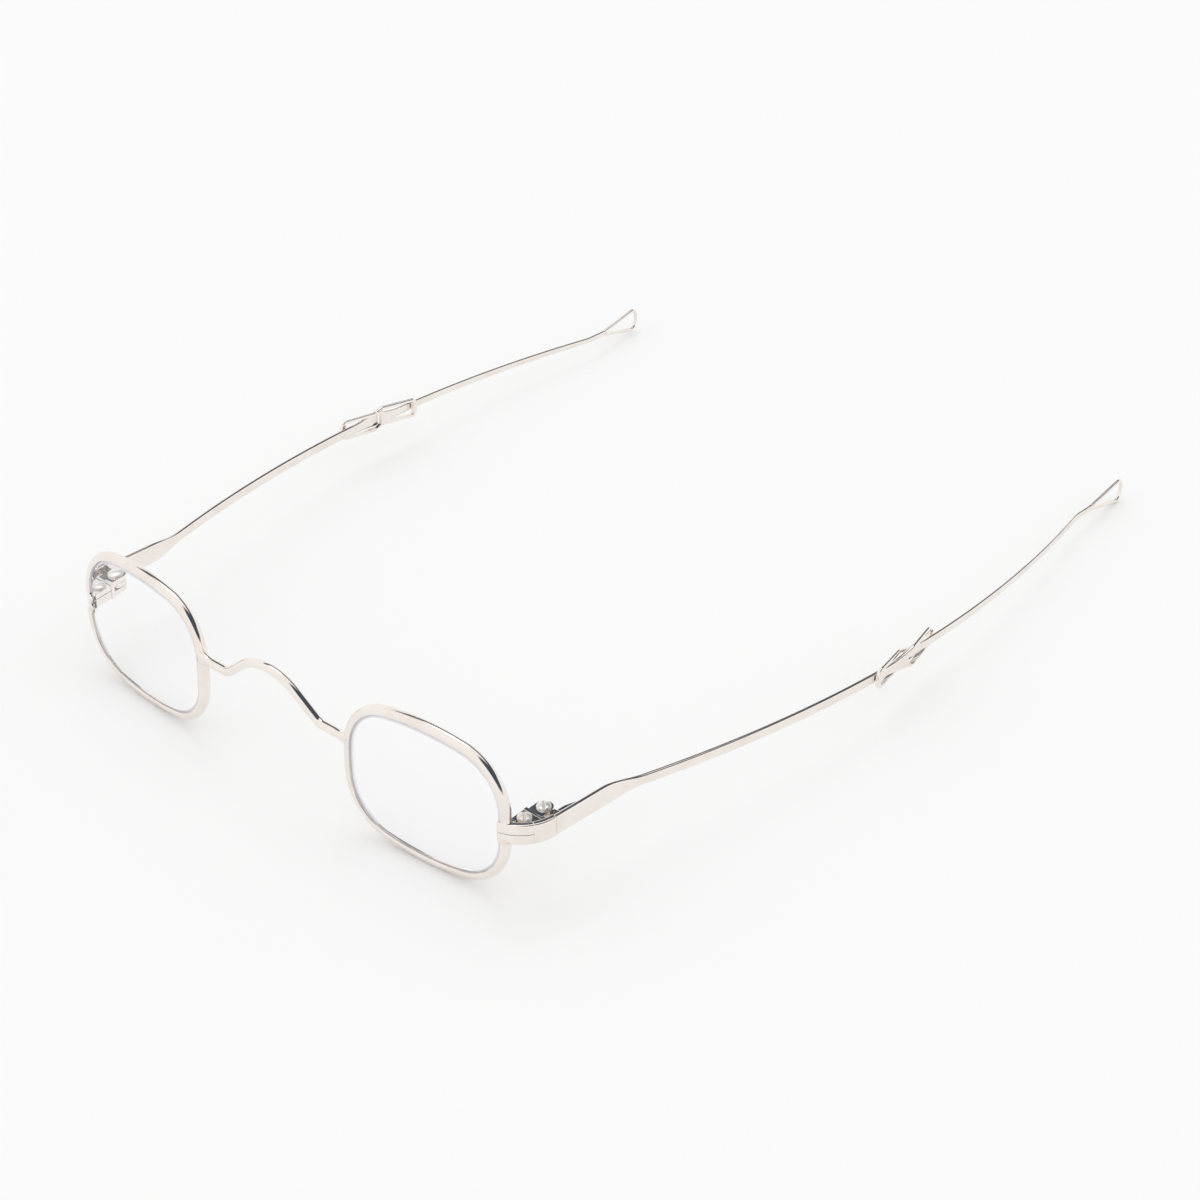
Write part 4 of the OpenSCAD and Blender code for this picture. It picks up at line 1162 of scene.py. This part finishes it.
def stage():
    """Table top, white room, one soft lamp and the camera."""
    look = settings().stage
    table_reach, count = 2.5, 9
    lamp_spread, lamp_colour = math.radians(28), (1.0, 0.985, 0.965)
    lamp_place = Vector((-0.35, 0.32, 0.88))
    steps = np.linspace(-table_reach, table_reach, count)
    plan = np.stack(np.meshgrid(steps, steps, indexing="ij"), -1)
    mesh = bpy.data.meshes.new("table")
    faces = quads(count, count, False)[:, ::-1]
    mesh.from_pydata(raised(plan, 0).reshape(-1, 3), [], faces.tolist())
    mesh.materials.append(table_material())
    table = shown("table", mesh)
    room()
    lamp = bpy.data.lights.new("soft lamp", "SUN")
    lamp.energy = look.lamp
    lamp.angle = lamp_spread
    lamp.color = lamp_colour
    holder = shown("soft lamp", lamp)
    holder.rotation_euler = lamp_place.to_track_quat("Z", "Y").to_euler()
    bpy.context.scene.view_settings.view_transform = "Standard"
    add_camera(look)


def add_camera(look):
    """The camera, set back from the rims' middle along its backward direction.

    Its right, up and backward directions follow from its azimuth, elevation and roll."""
    film_width, nearest = 36, 0.01
    p = layout(settings())
    a, e = look.azimuth, look.elevation
    back = np.array([math.sin(a) * math.cos(e), -math.cos(a) * math.cos(e), math.sin(e)])
    level = np.cross([0, 0, 1], back)
    level /= np.linalg.norm(level)
    steep = np.cross(back, level)
    c, r = math.cos(look.roll), math.sin(look.roll)
    right, up = c * level + r * steep, c * steep - r * level
    place = (np.array([0, -p.middle_y, p.rim_z]) + right * look.across + up * look.up
             + back * look.distance)
    camera = bpy.data.cameras.new("camera")
    camera.lens = look.lens
    camera.sensor_width = film_width
    camera.clip_start = nearest
    holder = shown("camera", camera)
    turn = Matrix(np.column_stack([right, up, back]).tolist()).to_4x4()
    holder.matrix_world = Matrix.Translation(place) @ turn
    bpy.context.scene.camera = holder


def build_both(*rows):
    """The left and then the right piece of every row, named after their side like their nodes.

    A row holds a name, the replaced node, the building function, the finish, the body, the slot
    and the rounding of the edges. A body other than the front has the side's name ahead of it."""
    s = settings()
    pieces = []
    for side, word in SIDES.items():
        p = layout(s, side)
        for name, replaced, build, look, body, slot, edge in rows:
            carrier = body if body == "front" else f"{word}_{body}"
            pieces.append(made(p, f"{name}_{word}", build(s, p), look, carrier,
                               f"{replaced}_{word}", edge))
    return pieces


class GLASSES_OT_rims(Operator):
    """Build both rim wires"""

    bl_idname = "glasses.rims"
    bl_label = "Rims"

    def execute(self, context):
        build_both(("rim_wire", "rim", rim_wire, metal(WIRE), "front", "frame", RIM_EDGE))
        return {"FINISHED"}


class GLASSES_OT_lenses(Operator):
    """Build both lenses, with a ground finish on the faces that look sideways"""

    bl_idname = "glasses.lenses"
    bl_label = "Lenses"

    def execute(self, context):
        sideways, sharp = 0.9, math.radians(20)
        for piece in build_both(
                ("lens_glass", "lens", lens_glass, glass_material(), "front", "lens", 0)):
            mesh = piece.data
            mesh.materials.append(glass_edge_material())
            normals = np.empty(3 * len(mesh.polygons))
            mesh.polygons.foreach_get("normal", normals)
            ground = np.abs(normals[1::3]) < sideways
            mesh.polygons.foreach_set("material_index", ground.astype(np.int32))
            mesh.set_sharp_from_angle(angle=sharp)
        return {"FINISHED"}


class GLASSES_OT_bridge(Operator):
    """Build the bridge wire"""

    bl_idname = "glasses.bridge"
    bl_label = "Bridge"

    def execute(self, context):
        s = settings()
        p = layout(s)
        made(p, "bridge_wire", bridge_wire(s, p), metal(WIRE), "front", "bridge")
        return {"FINISHED"}


class GLASSES_OT_endpieces(Operator):
    """Build both curved endpieces"""

    bl_idname = "glasses.endpieces"
    bl_label = "Endpieces"

    def execute(self, context):
        build_both(
            ("endpiece_strap", "endpiece", endpiece_strap, metal(STRIP), "front", "frame", 0))
        return {"FINISHED"}


class GLASSES_OT_closing_blocks(Operator):
    """Build the closing blocks"""

    bl_idname = "glasses.closing_blocks"
    bl_label = "Closing blocks"

    def execute(self, context):
        build_both(*((f"closing_block_{level}_body", f"closing_block_{level}", build, metal(WIRE),
                      "front", "frame", BLOCK_EDGE)
                     for level, build in (("upper", upper_block), ("lower", lower_block))))
        return {"FINISHED"}


class GLASSES_OT_screws(Operator):
    """Build the closing screws and the hinge screws"""

    bl_idname = "glasses.screws"
    bl_label = "Screws"

    def execute(self, context):
        build_both(*((f"{name}_slotted", name, build, metal(SCREW), "front", "screws", 0)
                     for name, build in (("closing_screw", closing_screw),
                                         ("hinge_screw", hinge_screw))))
        return {"FINISHED"}


class GLASSES_OT_hinge_leaves(Operator):
    """Build the fixed and the moving hinge leaves"""

    bl_idname = "glasses.hinge_leaves"
    bl_label = "Hinge leaves"

    def execute(self, context):
        build_both(("hinge_leaf_fixed", "hinge_leaf_front", fixed_leaf, metal(WIRE), "front",
                    "frame", LEAF_EDGE),
                   ("hinge_leaf_moving", "hinge_leaf_temple", moving_leaf, metal(WIRE), "temple",
                    "strips", LEAF_EDGE))
        return {"FINISHED"}


class GLASSES_OT_front_strips(Operator):
    """Build the front strips of both temples"""

    bl_idname = "glasses.front_strips"
    bl_label = "Front strips"

    def execute(self, context):
        build_both(("temple_strip_front", "temple_front", front_strip, metal(STRIP), "temple",
                    "strips", STRIP_EDGE))
        return {"FINISHED"}


class GLASSES_OT_rear_strips(Operator):
    """Build the sliding rear strips of both temples"""

    bl_idname = "glasses.rear_strips"
    bl_label = "Rear strips"

    def execute(self, context):
        build_both(("temple_strip_rear", "temple_rear", rear_strip, metal(STRIP), "slider",
                    "strips", STRIP_EDGE))
        return {"FINISHED"}


class GLASSES_OT_tip_loops(Operator):
    """Build the wire loops at the tips"""

    bl_idname = "glasses.tip_loops"
    bl_label = "Tip loops"

    def execute(self, context):
        build_both(("tip_wire", "tip_loop", tip_wire, metal(WIRE), "slider", "strips", 0))
        return {"FINISHED"}


class GLASSES_OT_stage(Operator):
    """Set the table, the light and the camera"""

    bl_idname = "glasses.stage"
    bl_label = "Stage"

    def execute(self, context):
        stage()
        return {"FINISHED"}


PIECES = (
    GLASSES_OT_rims, GLASSES_OT_lenses, GLASSES_OT_bridge, GLASSES_OT_endpieces,
    GLASSES_OT_closing_blocks, GLASSES_OT_screws, GLASSES_OT_hinge_leaves,
    GLASSES_OT_front_strips, GLASSES_OT_rear_strips, GLASSES_OT_tip_loops, GLASSES_OT_stage)
GROUPS = (
    RimSizes, LensSizes, BridgeSizes, EndpieceSizes, HingeSizes, TempleSizes, TipSizes,
    FinishLook, StageLook, GlassesSettings)


class GLASSES_PT_panel(Panel):
    """Sizes, looks and building steps of the glasses"""

    bl_idname = "GLASSES_PT_panel"
    bl_label = "Reading glasses"
    bl_space_type = "VIEW_3D"
    bl_region_type = "UI"
    bl_category = "Glasses"

    def draw(self, context):
        s = context.scene.reading_glasses
        for part in GlassesSettings.__annotations__:
            box = self.layout.box()
            box.label(text=part.capitalize())
            values = getattr(s, part)
            for key in values.__annotations__:
                box.prop(values, key)
        for piece in PIECES:
            self.layout.operator(piece.bl_idname)


def register():
    """Registers the settings, the operators and the panel."""
    for cls in (*GROUPS, *PIECES, GLASSES_PT_panel):
        bpy.utils.register_class(cls)
    bpy.types.Scene.reading_glasses = PointerProperty(type=GlassesSettings)


def unregister():
    """Removes what register added."""
    del bpy.types.Scene.reading_glasses
    for cls in reversed((*GROUPS, *PIECES, GLASSES_PT_panel)):
        bpy.utils.unregister_class(cls)


def main():
    register()
    for piece in PIECES:
        family, name = piece.bl_idname.split(".")
        getattr(getattr(bpy.ops, family), name)()


if __name__ == "__main__":
    main()
